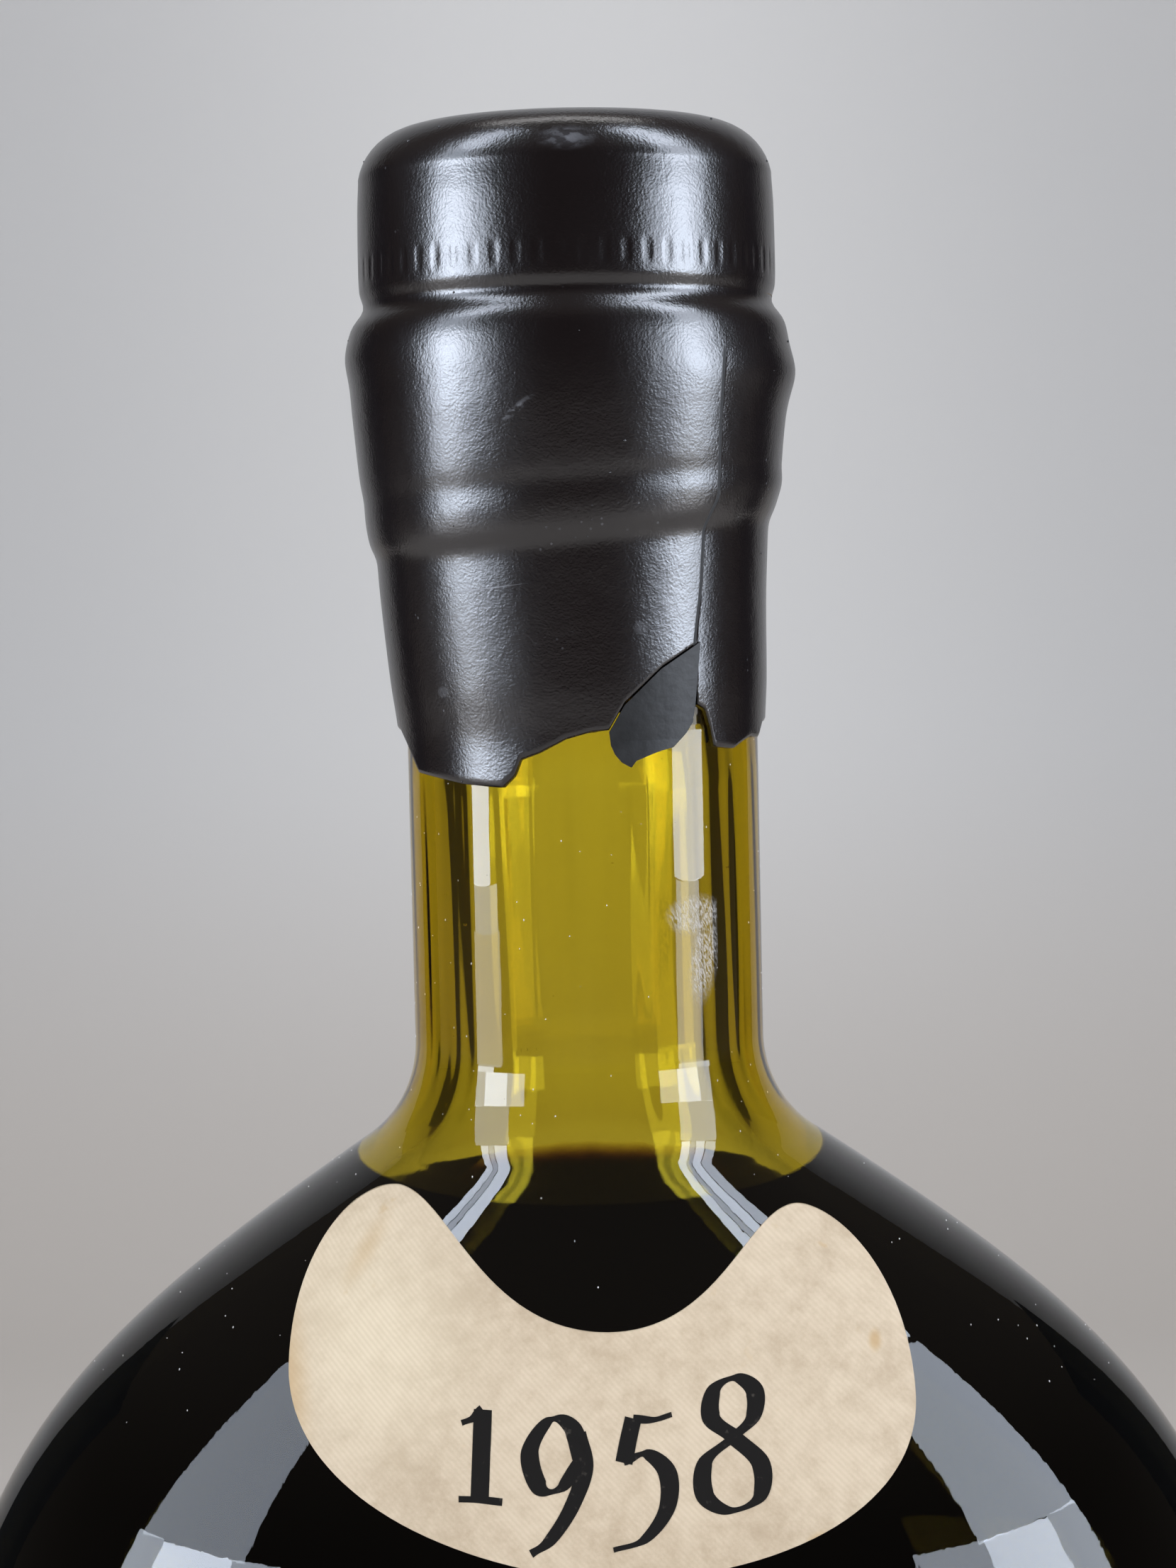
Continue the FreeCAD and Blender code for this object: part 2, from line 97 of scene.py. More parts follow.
def piece_from(name, mesh, nodes):
    """An object that rides on the bottle and stands for these CAD nodes."""
    piece = linked(name, mesh)
    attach(piece, "root")
    if nodes:
        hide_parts(*nodes)
    print(f"{name}: {len(mesh.vertices)} corners, {len(mesh.polygons)} faces")
    return piece


def mesh_piece(name, points, faces, slot, *nodes):
    return piece_from(name, new_mesh(name, points, faces), nodes)


def corner_values(mesh, name, values):
    """One number for each corner of a mesh, which its finish can read by this name."""
    layer = mesh.attributes.new(name, "FLOAT", "POINT")
    layer.data.foreach_set("value", np.array(values, float))


# %% Rays
def feeler(node):
    """A search tree over a CAD node's triangles."""
    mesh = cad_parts[node].data
    corners = [v.co for v in mesh.vertices]
    return BVHTree.FromPolygons(corners, [tuple(p.vertices) for p in mesh.polygons])


# %% [markdown]
# Materials are made of nodes, and node graphs are easier to read as sums and products than
# as lists of links. So one small class wraps a socket and gives it Python's operators. Each
# operation adds a Math node. Any other node comes from one method, which takes the node's
# type, its settings, and the values or links of its sockets.


# %% A socket that can be reckoned with
class Wire:
    """One output socket of a node. Sums and products of wires add Math nodes."""

    def __init__(self, graph, socket):
        self.graph = graph
        self.socket = socket

    def _math(self, operation, *values):
        return self.graph.node("ShaderNodeMath", {"operation": operation}, values)

    def __add__(self, other):
        return self._math("ADD", self, other)

    def __sub__(self, other):
        return self._math("SUBTRACT", self, other)

    def __rsub__(self, other):
        return self._math("SUBTRACT", other, self)

    def __mul__(self, other):
        return self._math("MULTIPLY", self, other)

    def __truediv__(self, other):
        return self._math("DIVIDE", self, other)

    def __pow__(self, other):
        return self._math("POWER", self, other)

    def __gt__(self, other):
        return self._math("GREATER_THAN", self, other)

    __radd__ = __add__
    __rmul__ = __mul__

    def wave(self):
        return self._math("COSINE", self)

    def size(self):
        return self._math("ABSOLUTE", self)

    def most(self, other):
        return self._math("MAXIMUM", self, other)

    def ramp(self, low, high, smooth=True):
        """0 below low, 1 above high. With low above high it falls instead of rising."""
        kind = "SMOOTHSTEP" if smooth else "LINEAR"
        return self.graph.node("ShaderNodeMapRange", {"interpolation_type": kind},
                               {"Value": self, "From Min": low, "From Max": high})


class Graph:
    """A node tree that is filled from Python."""

    def __init__(self, tree):
        self.tree = tree

    def node(self, kind, settings=None, inputs=(), output=0):
        """Adds a node: settings first, then each input by name or by its place."""
        made = self.tree.nodes.new(kind)
        for key, value in (settings or {}).items():
            setattr(made, key, value)
        pairs = inputs.items() if isinstance(inputs, dict) else enumerate(inputs)
        for key, value in pairs:
            if isinstance(value, Wire):
                self.tree.links.new(value.socket, made.inputs[key])
            else:
                made.inputs[key].default_value = value
        return Wire(self, made.outputs[output])

    def parts(self, vector):
        """The three numbers of a vector, each as a wire."""
        split = self.node("ShaderNodeSeparateXYZ", None, [vector]).socket.node
        return [Wire(self, socket) for socket in split.outputs]

    def mix(self, factor, a, b):
        """Colour a where factor is 0, colour b where it is 1."""
        return self.node("ShaderNodeMix", {"data_type": "RGBA"}, {0: factor, 6: a, 7: b}, 2)


class Finish(Graph):
    """A material with one main shader."""

    def __init__(self, name, **constants):
        self.material = bpy.data.materials.new(name)
        self.material.use_nodes = True
        super().__init__(self.material.node_tree)
        self.shader = self.tree.nodes["Principled BSDF"]
        self.output = self.tree.nodes["Material Output"]
        for key, value in constants.items():
            self.shader.inputs[key.replace("_", " ")].default_value = value
        self.place = self.node("ShaderNodeTexCoord", output="Object")

    def feed(self, socket, wire):
        self.tree.links.new(wire.socket, self.shader.inputs[socket])

    def corner_value(self, name):
        return self.node("ShaderNodeAttribute", {"attribute_name": name}, output="Fac")

    def second_shader(self, factor, **constants):
        """Another main shader over what is there, which rules where the factor is 1."""
        other = self.node("ShaderNodeBsdfPrincipled", None,
                          {key.replace("_", " "): value for key, value in constants.items()})
        first = Wire(self, self.output.inputs["Surface"].links[0].from_socket)
        mixed = self.node("ShaderNodeMixShader", None, [factor, first, other])
        self.tree.links.new(mixed.socket, self.output.inputs["Surface"])

    def stretched(self, x, y, z):
        """The place on the piece, measured in other units along each axis."""
        return self.node("ShaderNodeVectorMath", {"operation": "MULTIPLY"},
                         [self.place, (x, y, z)])

    def noise(self, scale, detail=2.0, roughness=0.5, place=None, kind="FBM"):
        return self.node("ShaderNodeTexNoise", {"noise_type": kind},
                         {"Vector": place or self.place, "Scale": scale, "Detail": detail,
                          "Roughness": roughness})

    def spot(self, x, z, wide, tall, turn=0.0, soft=0.6):
        """1 inside an oval mark on the front, given in metres, and 0 outside it."""
        px, py, pz = self.parts(self.place)
        c, s = math.cos(math.radians(turn)), math.sin(math.radians(turn))
        along = ((px - x) * c + (pz - z) * s) / wide
        across = ((pz - z) * c - (px - x) * s) / tall
        reach = (along * along + across * across) ** 0.5
        return reach.ramp(1.0, soft) * (0.0 - py > 0.0)

    def bump(self, height, distance, strength=1.0):
        normal = self.node("ShaderNodeBump", None,
                           {"Height": height, "Distance": distance, "Strength": strength})
        self.feed("Normal", normal)


def grey(value, warmth=0.0):
    """A linear colour from one brightness, with its red raised and its blue lowered."""
    return (value * (1 + warmth), value, value * (1 - warmth), 1.0)


# %% [markdown]
# ## The flask
#
# The glass is a blown flask: oval from above, wide from the front, narrow from the side. Two
# outlines rule it, one seen from the front and one from the side. Each runs up from the
# heel over the body and the shoulder into a small flare, and ends in a round neck. At every
# height the flask is an ellipse as wide as the first and as deep as the second. The sizes of
# the body come from the frame. Only the shape of the curves is named here.


# %% Sizes of the flask
low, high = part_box("bottle")
TOP = high[2] / MM
HALF_WIDTH = (high[0] - low[0]) / 2 / MM
HALF_DEPTH = (high[1] - low[1]) / 2 / MM
NECK_FOOT = 175.0
NECK_RADIUS = 13.75
NECK_TOP = NECK_FOOT + 24.0
BELLY_HEIGHT = 91.0
BELLY_REACH = 34.0
LEAN = math.radians(9.0)
HEEL = 9.0
HEEL_REACH = 26.0
WALL = 3.3
NECK_WALL = 3.9
BASE_GLASS = 5.0
print(f"flask {2 * HALF_WIDTH:.1f} x {2 * HALF_DEPTH:.1f} mm, neck foot at {NECK_FOOT:.0f} mm")


# %% Outlines
def cubic(corners, u):
    """Point and direction on a cubic curve."""
    a, b, c, d = (np.array(corner, float) for corner in corners)
    v = 1 - u
    point = v**3 * a + 3 * v * v * u * b + 3 * v * u * u * c + u**3 * d
    return point, v * v * (b - a) + 2 * v * u * (c - b) + u * u * (d - c)


class Outline:
    """Half of the flask's outline in millimetres. t runs from 0 at the base to 5 at the top
    of the neck: heel, lower body, shoulder, flare, neck."""

    def __init__(self, belly, base, flare, slope, reach, rise):
        self.belly, self.base, self.flare = belly, base, flare
        self.slope, self.reach, self.rise = math.radians(slope), reach, rise

    def raw(self, t):
        part = min(int(t), 4)
        u = t - part
        if part == 0:
            swing = -math.pi / 2 + (math.pi / 2 - LEAN) * u
            centre = self.base - HEEL * math.cos(LEAN)
            point = (centre + HEEL * math.cos(swing), HEEL + HEEL * math.sin(swing))
            return np.array(point), np.array((-math.sin(swing), math.cos(swing)))
        if part == 1:
            foot = (self.base, HEEL - HEEL * math.sin(LEAN))
            leaning = (foot[0] + HEEL_REACH * math.sin(LEAN),
                       foot[1] + HEEL_REACH * math.cos(LEAN))
            return cubic([foot, leaning, (self.belly, BELLY_HEIGHT - BELLY_REACH),
                          (self.belly, BELLY_HEIGHT)], u)
        if part == 2:
            end = self.raw(3.0)[0]
            sloping = (end[0] + self.reach * math.cos(self.slope),
                       end[1] - self.reach * math.sin(self.slope))
            return cubic([(self.belly, BELLY_HEIGHT), (self.belly, BELLY_HEIGHT + self.rise),
                          sloping, end], u)
        if part == 3:
            swing = (math.pi / 2 - self.slope) * (1 - u)
            point = (NECK_RADIUS + self.flare * (1 - math.cos(swing)),
                     NECK_FOOT - self.flare * math.sin(swing))
            return np.array(point), np.array((-math.sin(swing), math.cos(swing)))
        return np.array((NECK_RADIUS, NECK_FOOT + u * (NECK_TOP - NECK_FOOT))), np.array((0, 1))

    def at(self, t, inset):
        """The point at t, moved square into the glass."""
        point, along = self.raw(t)
        across = np.array((-along[1], along[0])) / math.hypot(*along)
        return point + inset * across

    def half(self, height, inset_at):
        """Half width at a height."""
        under, over = 0.0, 5.0
        for _ in range(34):
            middle = (under + over) / 2
            if self.at(middle, inset_at(middle))[1] < height:
                under = middle
            else:
                over = middle
        return self.at(over, inset_at(over))[0]


front = Outline(HALF_WIDTH, base=48.5, flare=9.5, slope=34, reach=35.5, rise=48)
side = Outline(HALF_DEPTH, base=30.5, flare=14.0, slope=56, reach=16.0, rise=42)
print(f"half width {front.raw(3.0)[0][0]:.1f} mm where the front's flare begins")

# %% [markdown]
# The flask is now swept: each level gives one ring of corners. Outside, the rings go on
# over the collar, the ring and the lip, and come back down the bore as the inner wall, so
# that glass has a real thickness for light to bend through. Hand-blown walls are never quite
# even, so a few slow waves stir the inner wall by a tenth of a millimetre or two, and fine
# upright ripples run down the neck, where the glass was drawn.

# %% Rings of the glass
AROUND = 320
TURNS = [2 * math.pi * k / AROUND for k in range(AROUND)]
LIP_HEIGHT, RING_HEIGHT = 4.0, 10.0
COLLAR = NECK_RADIUS + 0.75
RING = COLLAR + 1.05
RING_ROUND = 0.9
LIP = RING - 1.3
RING_TOP = TOP - LIP_HEIGHT
RING_FOOT = RING_TOP - RING_HEIGHT
BORE = 9.5
SLOW_WAVES = [(1.0, 3, 9, 0), (0.6, 5, -6, 1), (0.5, 2, 23, 2)]  # share, lobes, pitch, start
DRAWN_RIPPLES = [(0.35, 23, 14, 0), (0.28, 14, -9, 0), (0.21, 37, 17, 0)]
RIPPLES_FROM, RIPPLES_GROW = 166.0, 8.0


def stirred(a, height, waves):
    return sum(share * math.sin(lobes * a + height / pitch + start)
               for share, lobes, pitch, start in waves)


def oval_ring(wide, deep, height, depth=0.0):
    """One ring of corners in millimetres, stirred by waves of this depth."""
    ring = []
    ripples = min(1.0, max(0.0, (height - RIPPLES_FROM) / RIPPLES_GROW))
    for a in TURNS:
        stir = stirred(a, height, SLOW_WAVES) + ripples * stirred(a, height, DRAWN_RIPPLES)
        reach = 1 + depth * stir
        ring.append((wide * reach * math.cos(a), deep * reach * math.sin(a), height))
    return ring


# %% Rings of the outside
RINGS_IN_PART = (12, 26, 54, 22, 8)
LIP_ROUND = 1.2


def rounded(centre_r, centre_z, radius, start, end, steps=5):
    """Points of a quarter round in the outline, angles in degrees."""
    swings = [math.radians(start + (end - start) * i / steps) for i in range(steps + 1)]
    return [(centre_r + radius * math.cos(s), centre_z + radius * math.sin(s)) for s in swings]


def outside_rings():
    """Rings over the whole outside, from the edge of the punt up to the mouth."""
    rings = []
    stations = [0.0]
    for part, count in enumerate(RINGS_IN_PART):
        stations += list(np.linspace(part, part + 1, count)[1:])
    for t in stations:
        wide, height = front.at(t, 0)
        on_table = height < 0.02
        deep = side.at(0, 0)[0] if on_table else side.half(height, lambda t: 0.0)
        rings.append(oval_ring(wide, deep, height))
    turned = [(COLLAR, RING_FOOT)]
    turned += rounded(RING - RING_ROUND, RING_FOOT + RING_ROUND, RING_ROUND, -90, 0)
    turned += rounded(RING - RING_ROUND, RING_TOP - RING_ROUND, RING_ROUND, 0, 90)
    turned += [(LIP, RING_TOP)]
    turned += rounded(LIP - LIP_ROUND, TOP - LIP_ROUND, LIP_ROUND, 0, 90)
    return rings + [oval_ring(r, r, z) for r, z in turned]


def dome_rings(wide, deep, rise, count=10):
    """Rings from an oval's rim up over a low dome, without its middle point."""
    return [oval_ring(wide * math.cos(s), deep * math.cos(s), rise * math.sin(s))
            for s in np.linspace(0, math.pi / 2, count + 1)[:-1]]


PUNT = (30, 17, 7)
outer = dome_rings(*PUNT)[::-1] + outside_rings()
print(f"{len(outer)} rings outside")


# %% Rings of the inner wall
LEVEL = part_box("armagnac")[1][2] / MM
MENISCUS = 0.8
INNER_FOOT = BASE_GLASS + 0.4
WETTED = INNER_FOOT + (LEVEL + MENISCUS - INNER_FOOT) * np.linspace(0, 1, 81) ** 0.8
DRY = np.concatenate([[LEVEL + MENISCUS + 0.15], np.linspace(LEVEL + 2, NECK_TOP - WALL, 30)])


def wall_at(t):
    """The wall thickens over the flare from the body's to the neck's."""
    return WALL + (NECK_WALL - WALL) * min(1.0, max(0.0, t - 3.0))


def inside_rings(heights, more=0.0, waves=0.0):
    """Rings of the inner wall from the bottom up, moved outwards into the glass by more."""
    rings = []
    for height in heights:
        grip = lambda t: wall_at(t) - more
        rings.append(oval_ring(front.half(height, grip), side.half(height, grip), height,
                               waves * min(1.0, (height - INNER_FOOT) / 8)))
    return rings


def floor_rings(sunk=0.0):
    """Rings of the inner floor from its rim to its middle, lowered into the glass by sunk."""
    wide, deep, rise = (size - sunk for size in INNER_FLOOR)
    return [ring for ring in dome_rings(wide, deep, rise) if ring[0][2] > BASE_GLASS - sunk]


WAVES = 0.006
INNER_FLOOR = (35, 22, 12)
inner = inside_rings(np.concatenate([WETTED, DRY]), waves=WAVES)
bore = [oval_ring(BORE, BORE, z) for z in np.linspace(TOP, NECK_TOP + 1, 6)]
print(f"{len(inner)} rings inside, {len(bore)} in the bore")


# %% The glass as a mesh
def closed_shell(rings, foot, head):
    """Corners and faces of a shell of rings, closed at both ends by a fan to a pole."""
    points = [p for ring in rings for p in ring]
    under, over = len(points), len(points) + 1
    faces = rings_to_faces(len(rings), AROUND)
    faces += fan(under, 0, AROUND, False) + fan(over, under - AROUND, AROUND)
    return np.array(points + [(0, 0, foot), (0, 0, head)]) * MM, faces


floor = floor_rings()
points, faces = closed_shell(outer + bore + inner[::-1] + floor, PUNT[2], INNER_FLOOR[2])
glass = mesh_piece("glass_flask", points, faces, "glass", "bottle")
ring_counts = (len(outer), len(bore) + len(DRY), len(WETTED) + len(floor))
dry = np.repeat(np.repeat([0.0, 1.0, 0.0], ring_counts), AROUND)
wet = np.repeat(np.repeat([0.0, 0.0, 1.0], ring_counts), AROUND)
corner_values(glass.data, "dry", [*dry, 0.0, 0.0])
corner_values(glass.data, "wet", [*wet, 0.0, 1.0])

# %% [markdown]
# Olive bottle glass takes little from red and green light and nearly all of the blue. The
# colour belongs in the depth of the glass, not on its skin, so that thick places are
# darker: a plain Volume Absorption does it. Its numbers are the same everywhere, so they
# are set on the sockets.
#
# Where the spirit wets the inner wall, light goes from glass into liquid and not into air. It
# bends and shines far less there, so a second shader with the ratio of both indices rules
# the wetted wall. The dry inner wall of the neck is dulled by the spirit's vapour: it shines
# little, so a third shader rules it. The skin has fine streaks along the way it was drawn.


# %% Olive glass
def absorbing(name, per_metre, ior):
    """Clear glass or liquid that takes these shares of red, green and blue in a metre."""
    finish = Finish(name, Roughness=0.0, IOR=ior, Transmission_Weight=1.0,
                    Base_Color=(1, 1, 1, 1))
    density = max(per_metre) * 1.02
    kept = [1 - amount / density for amount in per_metre]
    depth = finish.node("ShaderNodeVolumeAbsorption", None,
                        {"Color": (*kept, 1.0), "Density": density})
    finish.tree.links.new(depth.socket, finish.output.inputs["Volume"])
    return finish


GLASS_INDEX, SPIRIT_INDEX = 1.5, 1.36
olive_glass = absorbing("olive bottle glass", (46.0, 82.0, 480.0), GLASS_INDEX)
drawn = olive_glass.noise(1.0, 3.0, 0.6, place=olive_glass.stretched(700, 700, 45))
olive_glass.bump(drawn, 0.0000045)
olive_glass.second_shader(olive_glass.corner_value("dry"), Roughness=0.05, IOR=GLASS_INDEX,
                          Specular_IOR_Level=0.12, Transmission_Weight=1.0,
                          Base_Color=(1, 1, 1, 1))
olive_glass.second_shader(olive_glass.corner_value("wet"), Roughness=0.0,
                          IOR=GLASS_INDEX / SPIRIT_INDEX, Transmission_Weight=1.0,
                          Base_Color=(1, 1, 1, 1))
glass.data.materials.append(olive_glass.material)

# %% [markdown]
# ## The armagnac
#
# The spirit fills the flask up to a little below the neck. It reaches a tenth of a
# millimetre into the wall, because a gap of air between liquid and glass would shine like a
# mirror. At its top it climbs the wall a little, as every liquid does. It bends no light of
# its own, because the wetted wall already does that.

# %% The liquid
GRIP, CLIMB_WIDTH = 0.12, 0.9
body = inside_rings(WETTED, more=GRIP)
rim_wide, rim_deep = body[-1][0][0], body[-1][AROUND // 4][1]
surface = []
for share in (0.99, 0.965, 0.93, 0.88, 0.8, 0.6, 0.3):
    climb = MENISCUS * math.exp(-(1 - share) * rim_deep / CLIMB_WIDTH)
    surface.append(oval_ring(rim_wide * share, rim_deep * share, LEVEL + climb))
points, faces = closed_shell(floor_rings(GRIP)[::-1] + body + surface, INNER_FLOOR[2] - GRIP,
                             LEVEL)
liquid = mesh_piece("armagnac_fill", points, faces, "armagnac", "armagnac")
dark_spirit = absorbing("dark armagnac", (600.0, 800.0, 1200.0), 1.0)
liquid.data.materials.append(dark_spirit.material)
print(f"level {NECK_FOOT - LEVEL:.1f} mm under the neck's foot")

# %% [markdown]
# ## The sealing wax
#
# The neck was dipped in hot wax. The coat follows what lies under it and softens it: the
# stopper's head, the glass ring, the collar. It could be a turned shape, but it is not quite
# round: it shrank while cooling, so it has a low crease under the head, a tilted one under
# the ring, and a few swellings at its sides. So its radius is a function of angle and
# height. An outline gives the round part, and the rest is added to it.

# %% The coat's outline
PROFILE = [  # height above the neck's foot, radius
    (14, 14.3), (23.6, 14.38), (28, 14.74), (32.5, 15.0), (36.5, 15.22), (38.8, 15.36),
    (40.1, 15.86), (42.0, 16.16), (43.4, 16.24), (44.5, 16.46), (47.5, 16.8), (50.0, 17.02),
    (52.6, 17.12), (54.6, 17.04), (55.8, 16.78), (56.6, 16.14), (57.1, 15.84), (57.6, 15.86),
    (58.1, 16.13), (59.5, 16.2), (64.5, 16.15), (66.9, 16.02),
]
CROWN_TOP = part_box("wax_seal")[1][2] / MM - NECK_FOOT
CROWN_RISE, CROWN_FLAT, SHOULDER_ROUND = 0.45, 11.55, 4.55
CROWN = [(CROWN_TOP - CROWN_RISE - SHOULDER_ROUND * (1 - math.sin(s)),
          CROWN_FLAT + SHOULDER_ROUND * math.cos(s))
         for s in np.radians(np.linspace(10, 86, 11))]
CROWN += [(CROWN_TOP - 0.28, 8.5), (CROWN_TOP - 0.1, 4.8)]
print(f"coat up to {CROWN_TOP:.1f} mm above the neck's foot")


def smooth_curve(knots, x):
    """A curve through knots that doesn't overshoot between them."""
    xs = np.array([k[0] for k in knots], float)
    ys = np.array([k[1] for k in knots], float)
    step = np.diff(xs)
    slope = np.diff(ys) / step
    inner_slope = np.where(slope[:-1] * slope[1:] > 0,
                           2 * slope[:-1] * slope[1:] / (slope[:-1] + slope[1:] + 1e-12), 0)
    tangent = np.concatenate([[slope[0]], inner_slope, [slope[-1]]])
    i = np.clip(np.searchsorted(xs, x) - 1, 0, len(step) - 1)
    u = (np.clip(x, xs[0], xs[-1]) - xs[i]) / step[i]
    return ((1 + 2 * u) * (1 - u) ** 2 * ys[i] + u * (1 - u) ** 2 * step[i] * tangent[i]
            + u * u * (3 - 2 * u) * ys[i + 1] + u * u * (u - 1) * step[i] * tangent[i + 1])


def smoothstep(start, end, x):
    """0 below start, 1 above end, and a soft rise between them."""
    u = np.clip((x - start) / (end - start), 0, 1)
    return u * u * (3 - 2 * u)


# %% [markdown]
# One long crack runs up the coat's right side. The wax to its right has sunk a little, so
# the crack shows as a step in the shape, and painted shade is added along it later.

# %% The coat's radius
TILT, CREASE, CREASE_REACH = 1.2, 40.0, 7.0
CRACK = [(24.0, 8.3), (31.5, 9.0), (35.2, 9.5), (39.6, 9.8), (42.0, 11.0), (47.3, 11.2),
         (53.0, 11.6)]  # height above the neck's foot, x
SUNK, STEP_WIDTH = 0.16, 0.16
SUNK_FADES, SUNK_ENDS = (2.0, 8.0), (50.0, 53.5)
SWELLS = [(51.6, 1.9, 0.55, 1), (43.4, 1.5, 0.3, 1), (53.4, 1.6, 0.3, -1)]  # the last: side
SOFTENING = [(-0.44, 0.17), (-0.22, 0.21), (0.0, 0.24), (0.22, 0.21), (0.44, 0.17)]


def crack_side(x, y, height):
    """How far right of the long crack a place on the front lies, in millimetres."""
    line = np.interp(height, [k[0] for k in CRACK], [k[1] for k in CRACK])
    return np.where(y < 0, x - line, 99.0)


def coat_radius(angle, height):
    """The coat's radius at an angle and a height above the neck's foot."""
    tilt = TILT * np.cos(angle) * np.exp(-((height - CREASE) / CREASE_REACH) ** 2)
    radius = sum(share * smooth_curve(PROFILE, height - tilt + step)
                 for step, share in SOFTENING)
    for centre, reach, swell, side_sign in SWELLS:
        facing = np.maximum(0, side_sign * np.cos(angle)) ** 3
        radius = radius + swell * facing * np.exp(-((height - centre) / reach) ** 2)
    right = crack_side(radius * np.cos(angle), radius * np.sin(angle), height)
    sunk = smoothstep(0.0, STEP_WIDTH, right) * (1 - smoothstep(*SUNK_FADES, right))
    sunk = sunk * (1 - smoothstep(*SUNK_ENDS, height)) * (np.sin(angle) < 0)
    return radius - SUNK * sunk


widest = coat_radius(np.zeros(80), np.linspace(40, 60, 80)).max()
print(f"coat at most {widest:.2f} mm from its middle on the right")


# %% [markdown]
# The lower edge broke into chips. Its course is felt on the CAD solid with upward rays, so
# that both models break along the same line. At the back it is raised by two millimetres,
# so that it stays out of sight behind the neck's clear glass.

# %% Where the lower edge broke
wax_tree = feeler("wax_seal")
LEVEL_FROM, CHIPS_UNDER = 33.0, 1.2
FRONT, FRONT_SPREAD = -math.pi / 2, math.radians(76)
angles = [*np.linspace(FRONT - FRONT_SPREAD, FRONT + FRONT_SPREAD, 330),
          *np.linspace(FRONT + FRONT_SPREAD, FRONT + 2 * math.pi - FRONT_SPREAD, 210)[1:-1]]
COLUMNS = len(angles)
FEEL = NECK_RADIUS + 0.3


def broken_edge(angle):
    """Height above the neck's foot where a ray from below meets the wax."""
    start = Vector((FEEL * math.cos(angle), FEEL * math.sin(angle), NECK_FOOT + 5)) * MM
    hit = wax_tree.ray_cast(start, Vector((0, 0, 1)))[0]
    return hit.z / MM - NECK_FOOT


edge = np.array([broken_edge(a) for a in angles])
neighbours = np.stack([np.roll(edge, shift) for shift in (-2, -1, 0, 1, 2)])
BACK_RISE = 2.2
edge = np.median(neighbours, 0) + BACK_RISE * smoothstep(0.0, 0.6, np.sin(angles))
edge = np.minimum(edge, LEVEL_FROM - CHIPS_UNDER)
print(f"broken edge between {edge.min():.1f} and {edge.max():.1f} mm above the neck's foot")

# %% [markdown]
# The coat is one closed skin. Its rows of corners start under the head, go down against the
# glass to the broken edge, turn round it, and climb the outside over the crown. The rows by
# the edge follow its chips, and the rows above them are level.

# %% Rows of the coat
CROWN_FOOT = PROFILE[-1][0]
UNDER_HEAD, DENTS_FROM, DENTS_TO = 57.0, 57.5, 62.0
EDGE_START, LIP_RISE, LIP_ROUND_IN = 0.05, 0.35, 0.22
turn = np.array(angles)
edge_rows = [edge + EDGE_START + (LEVEL_FROM - edge - EDGE_START) * s
             for s in np.linspace(0, 1, 40)]
level_heights = [*np.linspace(LEVEL_FROM, DENTS_FROM, 62)[1:],
                 *np.linspace(DENTS_FROM, DENTS_TO, 24)[1:],
                 *np.linspace(DENTS_TO, CROWN_FOOT, 12)[1:]]
level_rows = [np.full(COLUMNS, height) for height in level_heights]
FOOT, HIGH = RING_FOOT - NECK_FOOT, RING_TOP - NECK_FOOT
GLASS_UNDER = [(0, NECK_RADIUS), (24, NECK_RADIUS), (FOOT - 0.5, COLLAR),
               (FOOT + RING_ROUND, RING), (HIGH - RING_ROUND, RING), (HIGH + 0.2, LIP),
               (UNDER_HEAD, LIP)]
SINK = 0.06


def ring_at(radius, height):
    return np.stack([radius * np.cos(turn), radius * np.sin(turn), height], 1)


rows = []
for s in np.linspace(1, 0, 16):  # inside, from under the head down to the edge
    height = edge + (UNDER_HEAD - edge) * s
    rows.append(ring_at(np.interp(height, *zip(*GLASS_UNDER)) - SINK, height))
inside_rows = len(rows)
for height in edge_rows + level_rows:  # outside, from the edge up
    lip = np.clip((height - edge) / LIP_RISE, 0, 1)
    rounding = LIP_ROUND_IN * (1 - np.sqrt(1 - (1 - lip) ** 2))
    rows.append(ring_at(coat_radius(turn, height) - rounding, height))
for height, radius in CROWN:
    rows.append(ring_at(radius, np.full(COLUMNS, height)))
print(f"{len(rows)} rows of {COLUMNS} corners, {inside_rows} of them inside")


# %% The blank
LEAN_LEFT, LEANS_OVER, CRACK_LINE = 0.42, (22, 36), 0.17


def near_line(places, line, reach):
    """1 on a line of (height, x) on the front, falling to 0 at the reach, in millimetres."""
    nearest = np.full(len(places), 1e9)
    spot = np.stack([places[:, 2] - NECK_FOOT, places[:, 0]], 1)
    for start, end in zip(np.array(line[:-1]), np.array(line[1:])):
        along = end - start
        u = np.clip((spot - start) @ along / (along @ along), 0, 1)
        nearest = np.minimum(nearest, np.linalg.norm(spot - start - u[:, None] * along, axis=1))
    nearest[places[:, 1] > 0] = 1e9
    return np.clip(1 - nearest / reach, 0, 1)


points = np.concatenate(rows)
mask = np.zeros(len(points) + 2)
mask[inside_rows * COLUMNS:] = 1.0
shown = points[inside_rows * COLUMNS:]
shown[:, 0] -= LEAN_LEFT * smoothstep(*LEANS_OVER, shown[:, 2])
points = np.vstack([points, (-LEAN_LEFT, 0, CROWN_TOP), (0, 0, UNDER_HEAD)])
points += (0, 0, NECK_FOOT)
over, under = len(points) - 2, len(points) - 1
faces = rings_to_faces(len(rows), COLUMNS)
faces += fan(over, over - COLUMNS, COLUMNS) + fan(under, 0, COLUMNS, False)
mesh = new_mesh("wax_blank", points * MM, faces)
corner_values(mesh, "outer_skin", mask)
upright = points + (LEAN_LEFT, 0, 0)
# Where the crack's painted shade and dullness go, read by the wax finish.
corner_values(mesh, "crack", near_line(upright, CRACK, CRACK_LINE) * mask)
wax_blank = linked("wax_blank", mesh)

